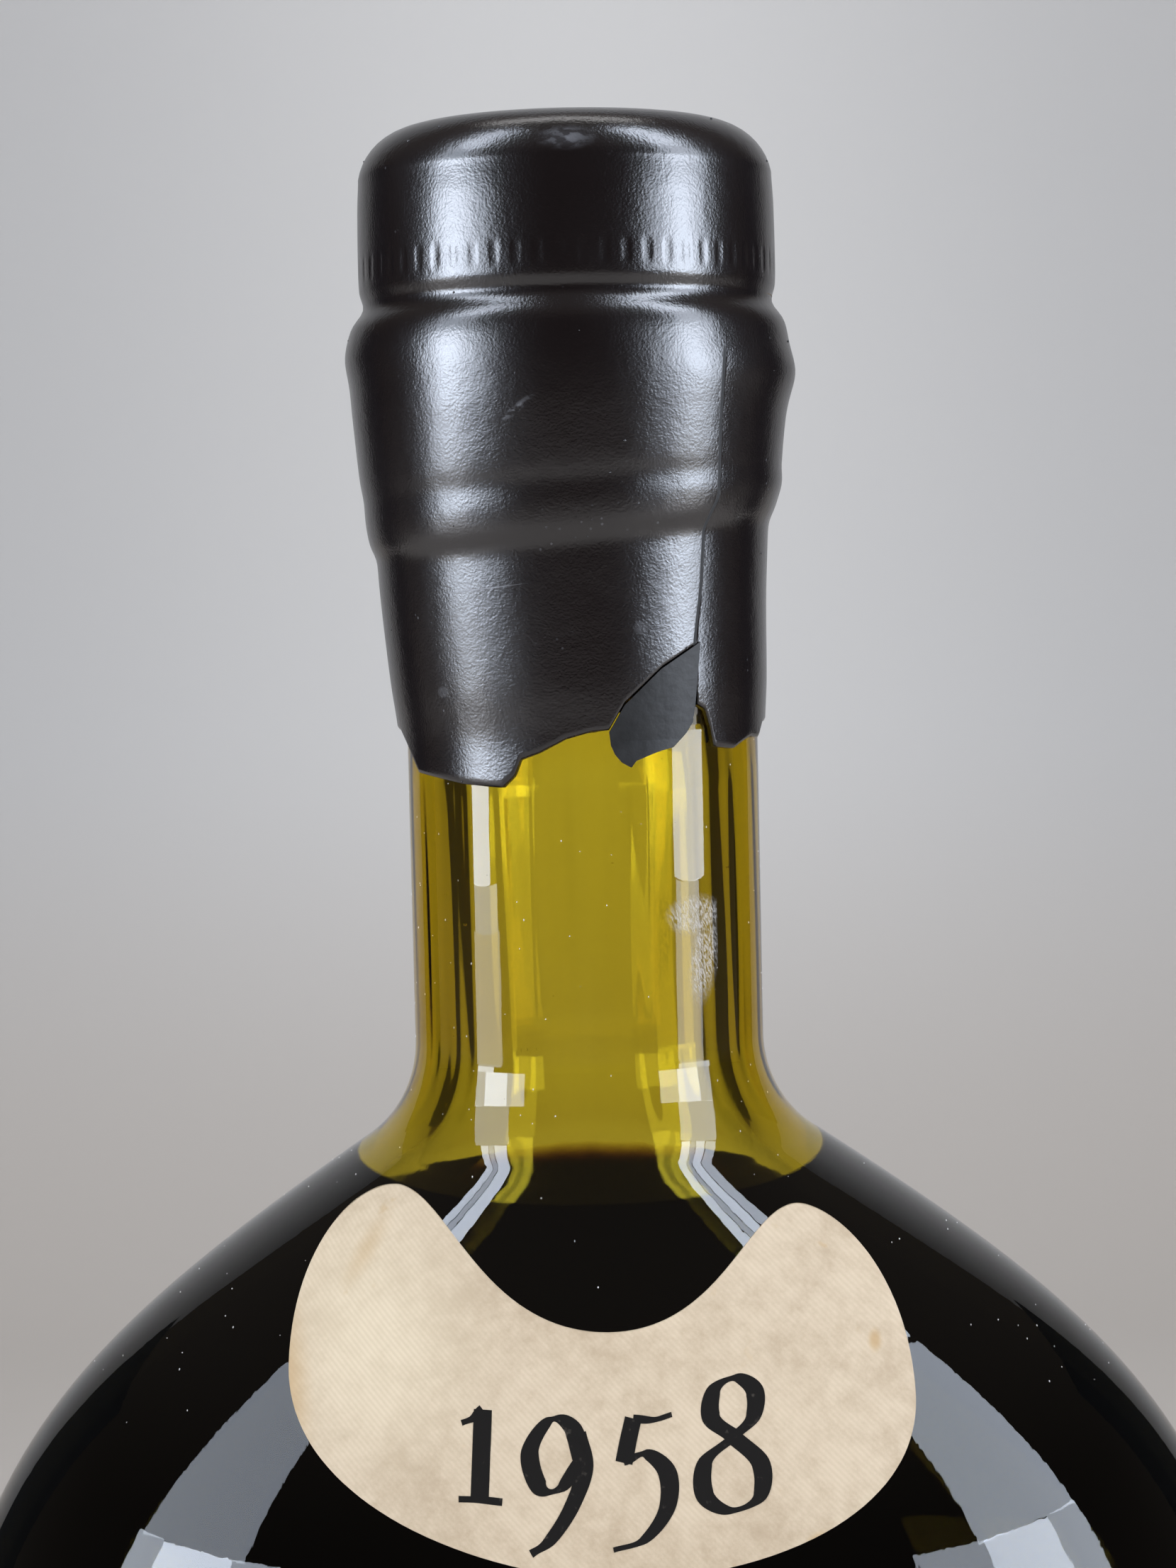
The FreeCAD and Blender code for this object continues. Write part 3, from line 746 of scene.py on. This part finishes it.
# %% [markdown]
# What follows a rule is left to Geometry Nodes, because a tree keeps its few sizes as named
# inputs. A few helpers start a tree, read its inputs, end it in real meshes with their
# material, and keep what it makes of a blank as a plain piece.


# %% Helpers for trees
def start_tree(name, sizes):
    """A graph on a new tree with these named inputs, and the inputs by name."""
    tree = bpy.data.node_groups.new(name, "GeometryNodeTree")
    tree.is_modifier = True
    for way in ("INPUT", "OUTPUT"):
        tree.interface.new_socket("Geometry", in_out=way, socket_type="NodeSocketGeometry")
    for size_name, value in sizes.items():
        socket = tree.interface.new_socket(size_name, in_out="INPUT",
                                           socket_type="NodeSocketFloat")
        socket.default_value = value
    graph = Graph(tree)
    given = tree.nodes.new("NodeGroupInput")
    return graph, {socket.name: Wire(graph, socket) for socket in given.outputs if socket.name}


def end_tree(graph, geometry, material):
    """Every tree ends in real meshes with their material."""
    real = graph.node("GeometryNodeRealizeInstances", None, [geometry])
    painted = graph.node("GeometryNodeSetMaterial", None,
                         {"Geometry": real, "Material": material})
    out = graph.tree.nodes.new("NodeGroupOutput")
    graph.tree.links.new(painted.socket, out.inputs[0])


def run_tree(blank, graph, name, slot, *nodes):
    """Evaluates a tree on a blank and keeps the result as a plain piece."""
    live = blank.modifiers.new(graph.tree.name, "NODES")
    live.node_group = graph.tree
    view = bpy.context.evaluated_depsgraph_get()
    mesh = bpy.data.meshes.new_from_object(blank.evaluated_get(view))
    mesh.name = name
    mesh.shade_smooth()
    blank.modifiers.remove(live)
    return piece_from(name, mesh, nodes)


def named_value(graph, name):
    """A number that each corner carries under this name."""
    return graph.node("GeometryNodeInputNamedAttribute", {"data_type": "FLOAT"}, [name])


# %% [markdown]
# The stopper's head has a row of fine grip notches, which show through the wax as some
# sixty soft dents. Slow lumps stir the rest of the coat. A cosine of the angle makes the
# dents, a band of height ends them, and each corner of the blank moves along its radius.

# %% Dents and lumps
wax = Finish("black sealing wax", IOR=1.75)
g, read = start_tree("wax relief", {
    "Dents": 62.0, "Dent Depth": 0.000034, "Dent Height": (NECK_FOOT + 60.0) * MM,
    "Dent Half Height": 0.0012, "Lump Depth": 0.00004, "Lump Scale": 120.0})
where = g.node("GeometryNodeInputPosition")
x, y, z = g.parts(where)
angle = g.node("ShaderNodeMath", {"operation": "ARCTAN2"}, [y, x])
ticks = (angle * read["Dents"]).wave().ramp(-0.2, 1.0)
band = 1 - ((z - read["Dent Height"]).size() / read["Dent Half Height"]).ramp(0.35, 1.05)
dents = ticks * band * read["Dent Depth"]
lumps = g.node("ShaderNodeTexNoise", None,
               {"Vector": where, "Scale": read["Lump Scale"], "Detail": 1.5})
lift = (lumps - 0.5) * 2 * read["Lump Depth"] - dents
outwards = g.node("ShaderNodeVectorMath", {"operation": "NORMALIZE"},
                  [g.node("ShaderNodeCombineXYZ", None, [x, y, 0.0])])
push = g.node("ShaderNodeVectorMath", {"operation": "SCALE"},
              {"Vector": outwards, "Scale": lift * named_value(g, "outer_skin")})
moved = g.node("GeometryNodeSetPosition", None,
               {"Geometry": read["Geometry"], "Offset": push})
end_tree(g, moved, wax.material)
coat = run_tree(wax_blank, g, "wax_coat", "wax", "wax_seal")
bpy.data.objects.remove(wax_blank)

# %% [markdown]
# The wax is a warm black with a satin skin. Its gloss is broken by fine grain, dull smears
# and dust, so roughness and a little colour vary, and a fine bump gives the grain. Painted
# shade darkens the long crack.

# %% Wax finish
BLACK = (0.003, 0.0013, 0.0017, 1.0)
DUST = (0.17, 0.17, 0.18, 1.0)


def on_wax(x, height, wide, tall, turn=0.0, soft=0.6):
    """A mark on the coat's front, in millimetres above the neck's foot."""
    return wax.spot(x * MM, (NECK_FOOT + height) * MM, wide * MM, tall * MM, turn, soft)


grain = wax.noise(5200, 2.0)
orange_peel = wax.noise(900, 3.0)
smears = wax.noise(90, 4.0, place=wax.stretched(1, 1, 0.5))
dust = wax.node("ShaderNodeTexVoronoi", {"feature": "F1"},
                {"Vector": wax.place, "Scale": 1300.0})
speck = dust.ramp(0.16, 0.1) * wax.noise(220, 2.0).ramp(0.56, 0.7) * 0.3
rub = wax.noise(1100, 3.0, place=wax.stretched(1, 1, 2.2)).ramp(0.42, 0.6)
rubbed_crown = on_wax(-0.2, 68.2, 2.6, 1.1, 0, 0.0) * (rub * 0.4 + 0.12)
smear = on_wax(-4.3, 48.6, 2.0, 0.4, 38, 0.0) * rub * 0.5
scratch = on_wax(-7.2, 35.5, 4.0, 0.07, 6, 0.0) * 0.8
left_drop, right_drop = on_wax(-10.4, 27.8, 0.5, 0.5), on_wax(4.5, 32.4, 0.6, 0.6)
drops = left_drop.most(right_drop) * 0.12
worn = speck.most(rubbed_crown).most(smear).most(scratch).most(drops)
# Painted shade: the crack line gets a darker wax colour, and it is also made duller.
crack_shade_and_dullness = wax.corner_value("crack").ramp(0.2, 0.6)
wax.feed("Base Color", wax.mix(crack_shade_and_dullness, wax.mix(worn, BLACK, DUST), grey(0.0008)))
wax.feed("Roughness", smears.ramp(0.35, 0.75) * 0.06 + 0.2 + worn * 0.3 + crack_shade_and_dullness * 0.6)
wax.bump(orange_peel * 0.55 + grain * 0.45, 0.00004)
print(f"wax finish of {len(wax.tree.nodes)} nodes")

# %% [markdown]
# Hot wax boils a little when cold glass is dipped in it. It leaves small blisters, which
# are scattered over the coat by a second tree: points on its faces, each with a small ball
# that is sunk to its middle.

# %% Blisters
g, read = start_tree("wax blisters", {"Blister Radius": 0.00012,
                                      "Blisters per Square Metre": 9000.0})
spots = g.node("GeometryNodeDistributePointsOnFaces", {"distribute_method": "RANDOM"},
               {"Mesh": read["Geometry"], "Density": read["Blisters per Square Metre"],
                "Selection": named_value(g, "outer_skin") > 0.5, "Seed": 7})
ball = g.node("GeometryNodeMeshIcoSphere", None,
              {"Radius": read["Blister Radius"], "Subdivisions": 2})
sizes = g.node("FunctionNodeRandomValue", {"data_type": "FLOAT"},
               {2: 0.35, 3: 1.15, "Seed": 3}, 1)
balls = g.node("GeometryNodeInstanceOnPoints", None,
               {"Points": spots, "Instance": ball, "Scale": sizes})
end_tree(g, balls, wax.material)
run_tree(coat, g, "wax_blisters", "wax")

# %% [markdown]
# The flake is a plate that broke loose and turned. Its CAD mesh is kept, and only its skin
# differs from the coat's: it is duller, because its broken side shows. The stopper is
# hidden under the wax and keeps its CAD mesh too.

# %% The loose flake and the stopper
flake_finish = Finish("dull wax flake", Roughness=0.42, IOR=1.5,
                      Specular_IOR_Level=0.3)
flake_finish.feed("Base Color", flake_finish.mix(flake_finish.noise(700, 4.0),
                                                 grey(0.006), grey(0.03)))
flake_finish.bump(flake_finish.noise(1500, 4.0), 0.00003)
cork = Finish("dark stopper", Roughness=0.8)
cork.feed("Base Color", cork.mix(cork.noise(600, 4.0), grey(0.05, 0.3), grey(0.1, 0.4)))
for node, finish in (("wax_flake", flake_finish), ("stopper", cork)):
    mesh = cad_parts[node].data
    mesh.materials.clear()
    mesh.materials.append(finish.material)
    print(f"{node}: {finish.material.name}")

# %% [markdown]
# ## The paper label
#
# A crescent of cream paper was pasted over the shoulder. It is printed with a fine diagonal
# line screen, mottled by age and yellow at its left edge. Clouds of noise give the mottling,
# a wave gives the screen, and a few soft ovals give the stains.

# %% Paper
paper = Finish("aged cream paper", Roughness=0.72)
CREAM, TAN, FOXING = (0.6, 0.475, 0.325, 1), (0.44, 0.33, 0.21, 1), (0.45, 0.28, 0.11, 1)
PALER_TOP_LEFT = (0.74, 0.62, 0.42, 1)
cloud = paper.noise(110, 3.0) * 0.45 + paper.noise(620, 5.0, 0.7) * 0.55
screen = paper.node("ShaderNodeTexWave", {"wave_type": "BANDS", "bands_direction": "DIAGONAL"},
                    {"Vector": paper.stretched(1, 0, 1), "Scale": 1300.0})
fox = paper.noise(420, 3.0).ramp(0.68, 0.8)
tone = paper.mix(cloud.ramp(0.36, 0.68), CREAM, TAN)
# The paper's colour is paler towards its top left.
tone = paper.mix(paper.spot(-0.0165, 0.1565, 0.012, 0.013, 0, 0.0) * 0.5, tone, PALER_TOP_LEFT)
tone = paper.mix(screen * 0.24, tone, TAN)
STAINS = [  # x, z, half width, half height, turn, soft rim, strength
    (-0.0226, 0.1525, 0.0022, 0.0085, 6, 0.0, 0.6), (0.0205, 0.1548, 0.0007, 0.001, 0, 0.2, 0.7),
    (0.0155, 0.1425, 0.0012, 0.0007, 20, 0.2, 0.6),
    (-0.017, 0.1615, 0.0011, 0.004, -34, 0.0, 0.35),
]
stained = fox * 0.4
for *oval, strength in STAINS:
    stained = stained.most(paper.spot(*oval) * strength)
paper.feed("Base Color", paper.mix(stained, tone, FOXING))
paper.bump(paper.noise(2600, 3.0), 0.00004)
print(f"paper finish of {len(paper.tree.nodes)} nodes")

# %% [markdown]
# The paper was pasted a little askew. Turning it would lift its corners off the curved
# glass, so each corner of the CAD paper is slid sideways instead and laid on the glass
# again with a ray, at the height above the glass that it had before.

# %% Pasting the paper askew
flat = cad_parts["neck_label"].data
glass_tree = feeler("bottle")
SKEW, ASIDE, UP = -0.059, 0.33, 0.2


def front_of_glass(x, z):
    """How far forward the glass stands at a place seen from the front, in metres."""
    return glass_tree.ray_cast(Vector((x, -90 * MM, z)), Vector((0, 1, 0)))[0].y


draped = []
for corner in flat.vertices:
    x, y, z = corner.co
    lift = front_of_glass(x, z) - y
    x, z = x + ASIDE * MM, z + SKEW * x + UP * MM
    draped.append((x, front_of_glass(x, z) - lift, z))
label = mesh_piece("paper_label", draped, [tuple(f.vertices) for f in flat.polygons], "paper",
                   "neck_label")
label.data.materials.append(paper.material)

# %% [markdown]
# Four plain numerals are printed on the paper, with old-style heights: the first stays low,
# two hang under the line, the last stands up. A font would be simpler, but would look too
# even. So each numeral is a few strokes of a broad pen. Its nib is a flat oval held at an
# angle, so a stroke is thick across the nib and thin along it. A numeral starts at a place
# along the line, and its strokes are lists of (across, up), where 1 is the low height.

# %% Strokes of the numerals
LOW_HEIGHT, BASE_LINE, TEXT_TURN = 6.0, 145.3, math.radians(-2.9)
NIB_LONG, NIB_THIN, NIB_ANGLE = 0.112, 0.028, math.radians(14)
INK, SOAK = 0.018, 0.08
NUMERALS = [
    (-10.4, [[(0.06, 0.84), (0.2, 0.9), (0.31, 1.0)], [(0.31, 1.0), (0.31, 0.5), (0.31, 0.03)],
             [(0.06, 0.02), (0.31, 0.03), (0.58, 0.02)]]),
    (-5.6, [[(0.72, 0.5), (0.58, 0.86), (0.32, 0.93), (0.09, 0.58), (0.22, 0.2), (0.46, 0.2),
             (0.69, 0.5)], [(0.64, 0.8), (0.74, 0.42), (0.6, 0.0), (0.36, -0.36), (0.14, -0.52)]]),
    (0.7, [[(0.72, 1.03), (0.5, 0.97), (0.26, 0.98)], [(0.26, 0.98), (0.21, 0.76), (0.16, 0.5)],
           [(0.16, 0.5), (0.42, 0.6), (0.68, 0.4), (0.68, 0.02), (0.42, -0.32), (0.06, -0.44)]]),
    (6.9, [[(0.42, 0.8), (0.16, 1.0), (0.2, 1.3), (0.45, 1.42), (0.68, 1.28), (0.66, 1.0),
            (0.42, 0.78), (0.1, 0.52), (0.1, 0.16), (0.4, 0.0), (0.74, 0.14), (0.76, 0.5),
            (0.42, 0.8)]]),
]


print(f"{sum(len(strokes) for start, strokes in NUMERALS)} pen strokes")

# %% [markdown]
# Each stroke is a ribbon round a soft curve. It is drawn flat and then dropped onto the
# paper with rays. The print has a face just above the paper and one inside it.


# %% Printing the numerals
def smooth_stroke(knots, steps=12):
    """Points and directions of a soft curve through the knots."""
    k = [np.array(p, float) for p in knots]
    k = [2 * k[0] - k[1]] + k + [2 * k[-1] - k[-2]]
    made = []
    for a, b, c, d in zip(k, k[1:], k[2:], k[3:]):
        for u in np.arange(steps) / steps:
            point = 0.5 * (2 * b + (c - a) * u + (2 * a - 5 * b + 4 * c - d) * u * u
                           + (3 * b - a - 3 * c + d) * u ** 3)
            along = 0.5 * ((c - a) + 2 * (2 * a - 5 * b + 4 * c - d) * u
                           + 3 * (3 * b - a - 3 * c + d) * u * u)
            made.append((point, along))
    return made + [(k[-2], made[-1][1])]


paper_tree = feeler("neck_label")


def on_paper(u, v, start, lift):
    """A place on the flat drawing, dropped on the paper and lifted off it, in millimetres."""
    x, z = start + LOW_HEIGHT * u, LOW_HEIGHT * v
    across = x * math.cos(TEXT_TURN) - z * math.sin(TEXT_TURN)
    up = BASE_LINE + x * math.sin(TEXT_TURN) + z * math.cos(TEXT_TURN)
    hit, normal = paper_tree.ray_cast(Vector((across, -90, up)) * MM, Vector((0, 1, 0)))[:2]
    return np.array(hit) / MM + np.array(normal) * lift


def pen_stroke(knots, start, first):
    """Corners and faces of one stroke. Each place on its line has four corners."""
    corners, quads = [], []
    line = smooth_stroke(knots)
    for point, along in line:
        swing = math.atan2(along[1], along[0]) - NIB_ANGLE
        half = math.hypot(NIB_LONG * math.sin(swing), NIB_THIN * math.cos(swing))
        across = np.array((-along[1], along[0])) / math.hypot(*along) * half
        for lift in (INK, -SOAK):
            for side_point in (point - across, point + across):
                corners.append(on_paper(*side_point, start, lift))
    last = first + 4 * (len(line) - 1)
    for a in range(first, last, 4):
        for near, far in ((0, 1), (1, 3), (3, 2), (2, 0)):
            quads.append((a + near, a + 4 + near, a + 4 + far, a + far))
    ends = [(first, first + 1, first + 3, first + 2), (last + 2, last + 3, last + 1, last)]
    return corners, quads + ends


points, faces = [], []
for start, strokes in NUMERALS:
    for knots in strokes:
        corners, quads = pen_stroke(knots, start, len(points))
        points += corners
        faces += quads
print_piece = mesh_piece("label_numerals", np.array(points) * MM, faces, "paper")
print_piece.data.shade_flat()
ink = Finish("worn black ink", Roughness=0.9, Specular_IOR_Level=0.0)
ink.feed("Base Color", ink.mix(ink.noise(1400, 4.0).ramp(0.62, 0.9), grey(0.013, 0.1),
                               grey(0.1, 0.2)))
print_piece.data.materials.append(ink.material)

# %% [markdown]
# A smear of old glue has dried on the right of the neck. It has no edge of its own, so it is
# a thin patch that hugs the glass, drawn with brush streaks in its alpha: a wide top and a
# narrow tail under it.

# %% Dried glue
SMEAR_LOW, SMEAR_HIGH = 3.2, 12.6
SMEAR_LEFT, SMEAR_RIGHT = math.radians(-66.5), math.radians(-44)
SMEAR_COLUMNS, SMEAR_ROWS = 25, 41
SMEAR_RADIUS = NECK_RADIUS + 0.02
points = [(SMEAR_RADIUS * math.cos(a), SMEAR_RADIUS * math.sin(a), NECK_FOOT + height)
          for height in np.linspace(SMEAR_LOW, SMEAR_HIGH, SMEAR_ROWS)
          for a in np.linspace(SMEAR_LEFT, SMEAR_RIGHT, SMEAR_COLUMNS)]
faces = [(a, a + 1, a + SMEAR_COLUMNS + 1, a + SMEAR_COLUMNS)
         for row in range(SMEAR_ROWS - 1)
         for a in range(row * SMEAR_COLUMNS, (row + 1) * SMEAR_COLUMNS - 1)]
smear = mesh_piece("dried_glue", np.array(points) * MM, faces, "glass")
glue = Finish("dried glue", Roughness=0.6, Base_Color=grey(0.62, 0.05))
turned = glue.node("ShaderNodeMapping", None,
                   {"Vector": glue.place, "Rotation": (0.0, math.radians(28), 0.0)})
along_strokes = glue.node("ShaderNodeVectorMath", {"operation": "MULTIPLY"},
                          [turned, (8200, 8200, 900)])
streaks = glue.noise(1.0, 4.0, 0.6, place=along_strokes)
top = glue.spot(0.0081, (NECK_FOOT + 10.6) * MM, 0.0024, 0.0018, 0, 0.5)
tail = glue.spot(0.0088, (NECK_FOOT + 7.2) * MM, 0.0013, 0.0042, -8, 0.4)
glue.feed("Alpha", streaks.ramp(0.34, 0.68) * top.most(tail) * 0.6)
smear.data.materials.append(glue.material)

# %% [markdown]
# A few motes of dust sit on the neck and the shoulders. A third tree scatters them over the
# outer skin of the glass, above a given height.

# %% Dust motes
motes = Finish("pale dust", Roughness=0.8, Base_Color=grey(0.7, 0.05))
g, read = start_tree("dust motes", {"Mote Radius": 0.00006,
                                    "Motes per Square Metre": 42000.0, "Lowest": 0.148})
high_up = g.parts(g.node("GeometryNodeInputPosition"))[2] > read["Lowest"]
outer_skin = high_up - named_value(g, "dry") - named_value(g, "wet")
spots = g.node("GeometryNodeDistributePointsOnFaces", {"distribute_method": "RANDOM"},
               {"Mesh": read["Geometry"], "Density": read["Motes per Square Metre"],
                "Selection": outer_skin > 0.5, "Seed": 11})
mote = g.node("GeometryNodeMeshIcoSphere", None,
              {"Radius": read["Mote Radius"], "Subdivisions": 1})
sizes = g.node("FunctionNodeRandomValue", {"data_type": "FLOAT_VECTOR"},
               {0: (0.4, 0.4, 0.4), 1: (1.0, 1.0, 1.9), "Seed": 5}, 0)
scattered = g.node("GeometryNodeInstanceOnPoints", None,
                   {"Points": spots, "Instance": mote, "Scale": sizes})
end_tree(g, scattered, motes.material)
run_tree(glass, g, "dust_motes", "glass")

# %% [markdown]
# ## The studio
#
# A pale sweep stands behind the bottle: a sheet of paper that hangs down and bends forward
# on the floor. Its colour carries painted shade: it darkens a little to both sides, and gets
# darker and warmer near the floor.

# %% Floor and sweep
stage_finish = Finish("pale studio paper", Roughness=0.95)
sideways, _, above_floor = stage_finish.parts(stage_finish.place)
aside = sideways.size()
shade_near_floor = above_floor.ramp(0.16, 0.0)
PALE, SHADED, WARM_SHADE = (0.66, 0.625, 0.575, 1), (0.53, 0.502, 0.465, 1), (0.49, 0.43, 0.365, 1)
# Painted shade: the paper's colour darkens to both sides and, darker and warmer, near the floor.
tone = stage_finish.mix(aside.ramp(0.0, 0.26), PALE, SHADED)
stage_finish.feed("Base Color", stage_finish.mix(shade_near_floor * 0.8, tone, WARM_SHADE))
BEND, BACK, WIDE, TALL, SWEEP_FROM = 0.45, 1.05, 1.1, 1.9, 0.3
FLOOR, FLOOR_DROP = 4.0, MM / 5


def staged(name, points, faces, finish):
    """A mesh that belongs to the studio and not to the bottle. Points are in metres."""
    mesh = new_mesh(name, points, faces)
    mesh.materials.append(finish.material)
    made = linked(name, mesh)
    return made


track = [(SWEEP_FROM, 0.0), (BACK - BEND, 0.0)]
track += [(BACK - BEND + BEND * math.sin(s), BEND - BEND * math.cos(s))
          for s in np.linspace(0, math.pi / 2, 24)[1:]]
track += [(BACK, TALL)]
staged("sweep", [(x, y, z) for y, z in track for x in (-WIDE, WIDE)],
       [(2 * i, 2 * i + 1, 2 * i + 3, 2 * i + 2) for i in range(len(track) - 1)], stage_finish)
staged("floor", [(x * FLOOR, y * FLOOR, -FLOOR_DROP)
                 for x, y in ((-1, -1), (1, -1), (1, 1), (-1, 1))], [(0, 1, 2, 3)], stage_finish)
print(f"sweep of {len(track)} steps, {BACK} m behind the bottle")

# %% [markdown]
# The wax and the glass are mirrors, so what matters most about a light is its shape. Soft
# windows stand on both sides, as panes with bars between them. Each pane has its own
# brightness, because the neck, the wax and the shoulder each reflect another part of the
# windows. Under the panes lie a frame, a strip of wall and a sill, which are ever dimmer.


# %% Windows
def softbox(name, azimuth, foot, wide, tall, radiance, tint=(1, 1, 1)):
    """An upright panel that faces the bottle. Azimuth is from the front towards +X."""
    lamp = bpy.data.lights.new(name, "AREA")
    lamp.shape = "RECTANGLE"
    lamp.size, lamp.size_y = wide, tall
    lamp.energy = radiance * math.pi * wide * tall
    lamp.color = tint
    a = math.radians(azimuth)
    light = linked(name, lamp)
    light.location = (WINDOW * math.sin(a), -WINDOW * math.cos(a), foot + tall / 2)
    light.rotation_euler = (math.pi / 2, 0, a)
    light.visible_camera = False


WINDOW = 0.8
COOL = (0.78, 0.86, 1.0)
PANES = [  # azimuths of both sides, foot, top, radiance
    (-77, -64, 0.108, 0.15, 13.0), (-77, -70, 0.15, 0.42, 7.5), (-70, -54, 0.15, 0.42, 17.0),
    (-54, -42, 0.15, 0.42, 7.5), (-76, -52, 0.42, 0.85, 4.5), (-72, -67, 0.85, 2.4, 12.5),
    (-66.6, -63, 0.85, 2.4, 8.0), (-62.6, -54, 0.85, 2.4, 13.5),
    (59, 83, 0.108, 0.15, 9.5), (73, 82, 0.15, 0.42, 7.0), (57, 73, 0.15, 0.42, 14.5),
    (44, 57, 0.15, 0.42, 6.0), (56, 82, 0.42, 0.85, 6.5), (57, 63, 0.85, 2.4, 13.5),
    (63.4, 67, 0.85, 2.4, 8.0), (67.4, 74, 0.85, 2.4, 13.5), (74.6, 82, 0.85, 2.4, 9.0),
]
for place, (near, far, foot, top_edge, radiance) in enumerate(PANES):
    wide = 2 * WINDOW * math.tan(math.radians(far - near) / 2)
    softbox(f"window pane {place}", (near + far) / 2, foot, wide, top_edge - foot, radiance,
            COOL)
UNDER_PANES = [("frame", 0.092, 0.25, 0.016, 5.5, COOL), ("wall", 0.06, 0.28, 0.032, 4.0),
               ("sill", 0.004, 0.31, 0.056, 3.0)]
for side_name, azimuth in (("left", -68), ("right", 69)):
    for part_name, *sizes in UNDER_PANES:
        softbox(f"{side_name} {part_name}", azimuth, *sizes)
print(f"{len(PANES)} panes, {2 * len(UNDER_PANES)} panels under them")

# %% [markdown]
# Clear glass needs dark edges, or its walls melt into the pale paper. A black flag on each
# side gives them: the neck's wall bends it into upright dark lines. The flags are seen only
# in glass and wax. One strip overhead draws the bright line on the crown's rim.

# %% Black flags, overhead strip
FLAG_TURN, FLAG_DISTANCE, FLAG_WIDE, FLAG_TALL = math.radians(124), 0.6, 0.22, 0.4
flag_finish = Finish("black flag", Roughness=0.9, Base_Color=grey(0.01))
for side_name, azimuth in (("left", -FLAG_TURN), ("right", FLAG_TURN)):
    across = np.array((math.cos(azimuth), math.sin(azimuth))) * FLAG_WIDE / 2
    middle = np.array((math.sin(azimuth), -math.cos(azimuth))) * FLAG_DISTANCE
    corners = [(*(middle + sideways * across), height)
               for sideways, height in ((-1, 0), (1, 0), (1, FLAG_TALL), (-1, FLAG_TALL))]
    flag = staged(side_name + " flag", corners, [(0, 1, 2, 3)], flag_finish)
    flag.visible_camera = flag.visible_shadow = flag.visible_diffuse = False
overhead = bpy.data.lights.new("overhead strip", "AREA")
overhead.shape = "RECTANGLE"
overhead.size, overhead.size_y, overhead.energy = 0.5, 0.1, 0.6
strip = linked("overhead strip", overhead)
strip.location = (0, 0.15, 0.95)
strip.visible_camera = False
print("two flags and a strip")

# %% [markdown]
# The air of the studio is dim and warm, so that the wax stays black between the windows. It
# is a little brighter from above. Where the camera looks past the paper it sees a mid tone.

# %% Studio air
world = bpy.data.worlds.new("studio air")
world.use_nodes = True
bpy.context.scene.world = world
air = Graph(world.node_tree)
path = world.node_tree.nodes.new("ShaderNodeLightPath")
seen = Wire(air, path.outputs["Is Camera Ray"])
towards = air.node("ShaderNodeTexCoord", output="Generated")
upwards = air.parts(towards)[2]
strength = (seen * 0.5).most(upwards.ramp(0.3, 0.8) * 0.08 + 0.06)
backdrop = world.node_tree.nodes["Background"]
backdrop.inputs["Color"].default_value = (1, 0.88, 0.78, 1)
world.node_tree.links.new(strength.socket, backdrop.inputs["Strength"])
print("studio air is set")

# %% [markdown]
# The camera looks at the neck from close by with a long lens. It stands at the height of the
# wax, looks down by four degrees, and is rolled by a little more than one.

# %% Camera
SENSOR, LENS = 36.0, 72.804
LOOK_DOWN, ROLL = math.radians(4.0), math.radians(-1.29)
camera_data = bpy.data.cameras.new("camera")
camera_data.sensor_width = SENSOR
camera_data.lens = LENS
camera_data.clip_start = 0.01
camera = linked("camera", camera_data)
camera.location = (0.00034, -0.249, (NECK_FOOT + 37.3) * MM)
camera.rotation_mode = "QUATERNION"
look = Vector((0, math.cos(LOOK_DOWN), -math.sin(LOOK_DOWN)))
camera.rotation_quaternion = look.to_track_quat("-Z", "Y") @ Quaternion((0, 0, 1), ROLL)
bpy.context.scene.camera = camera
bpy.context.scene.view_settings.view_transform = "Standard"
print(f"camera {-camera.location.y:.3f} m in front of the bottle's middle")
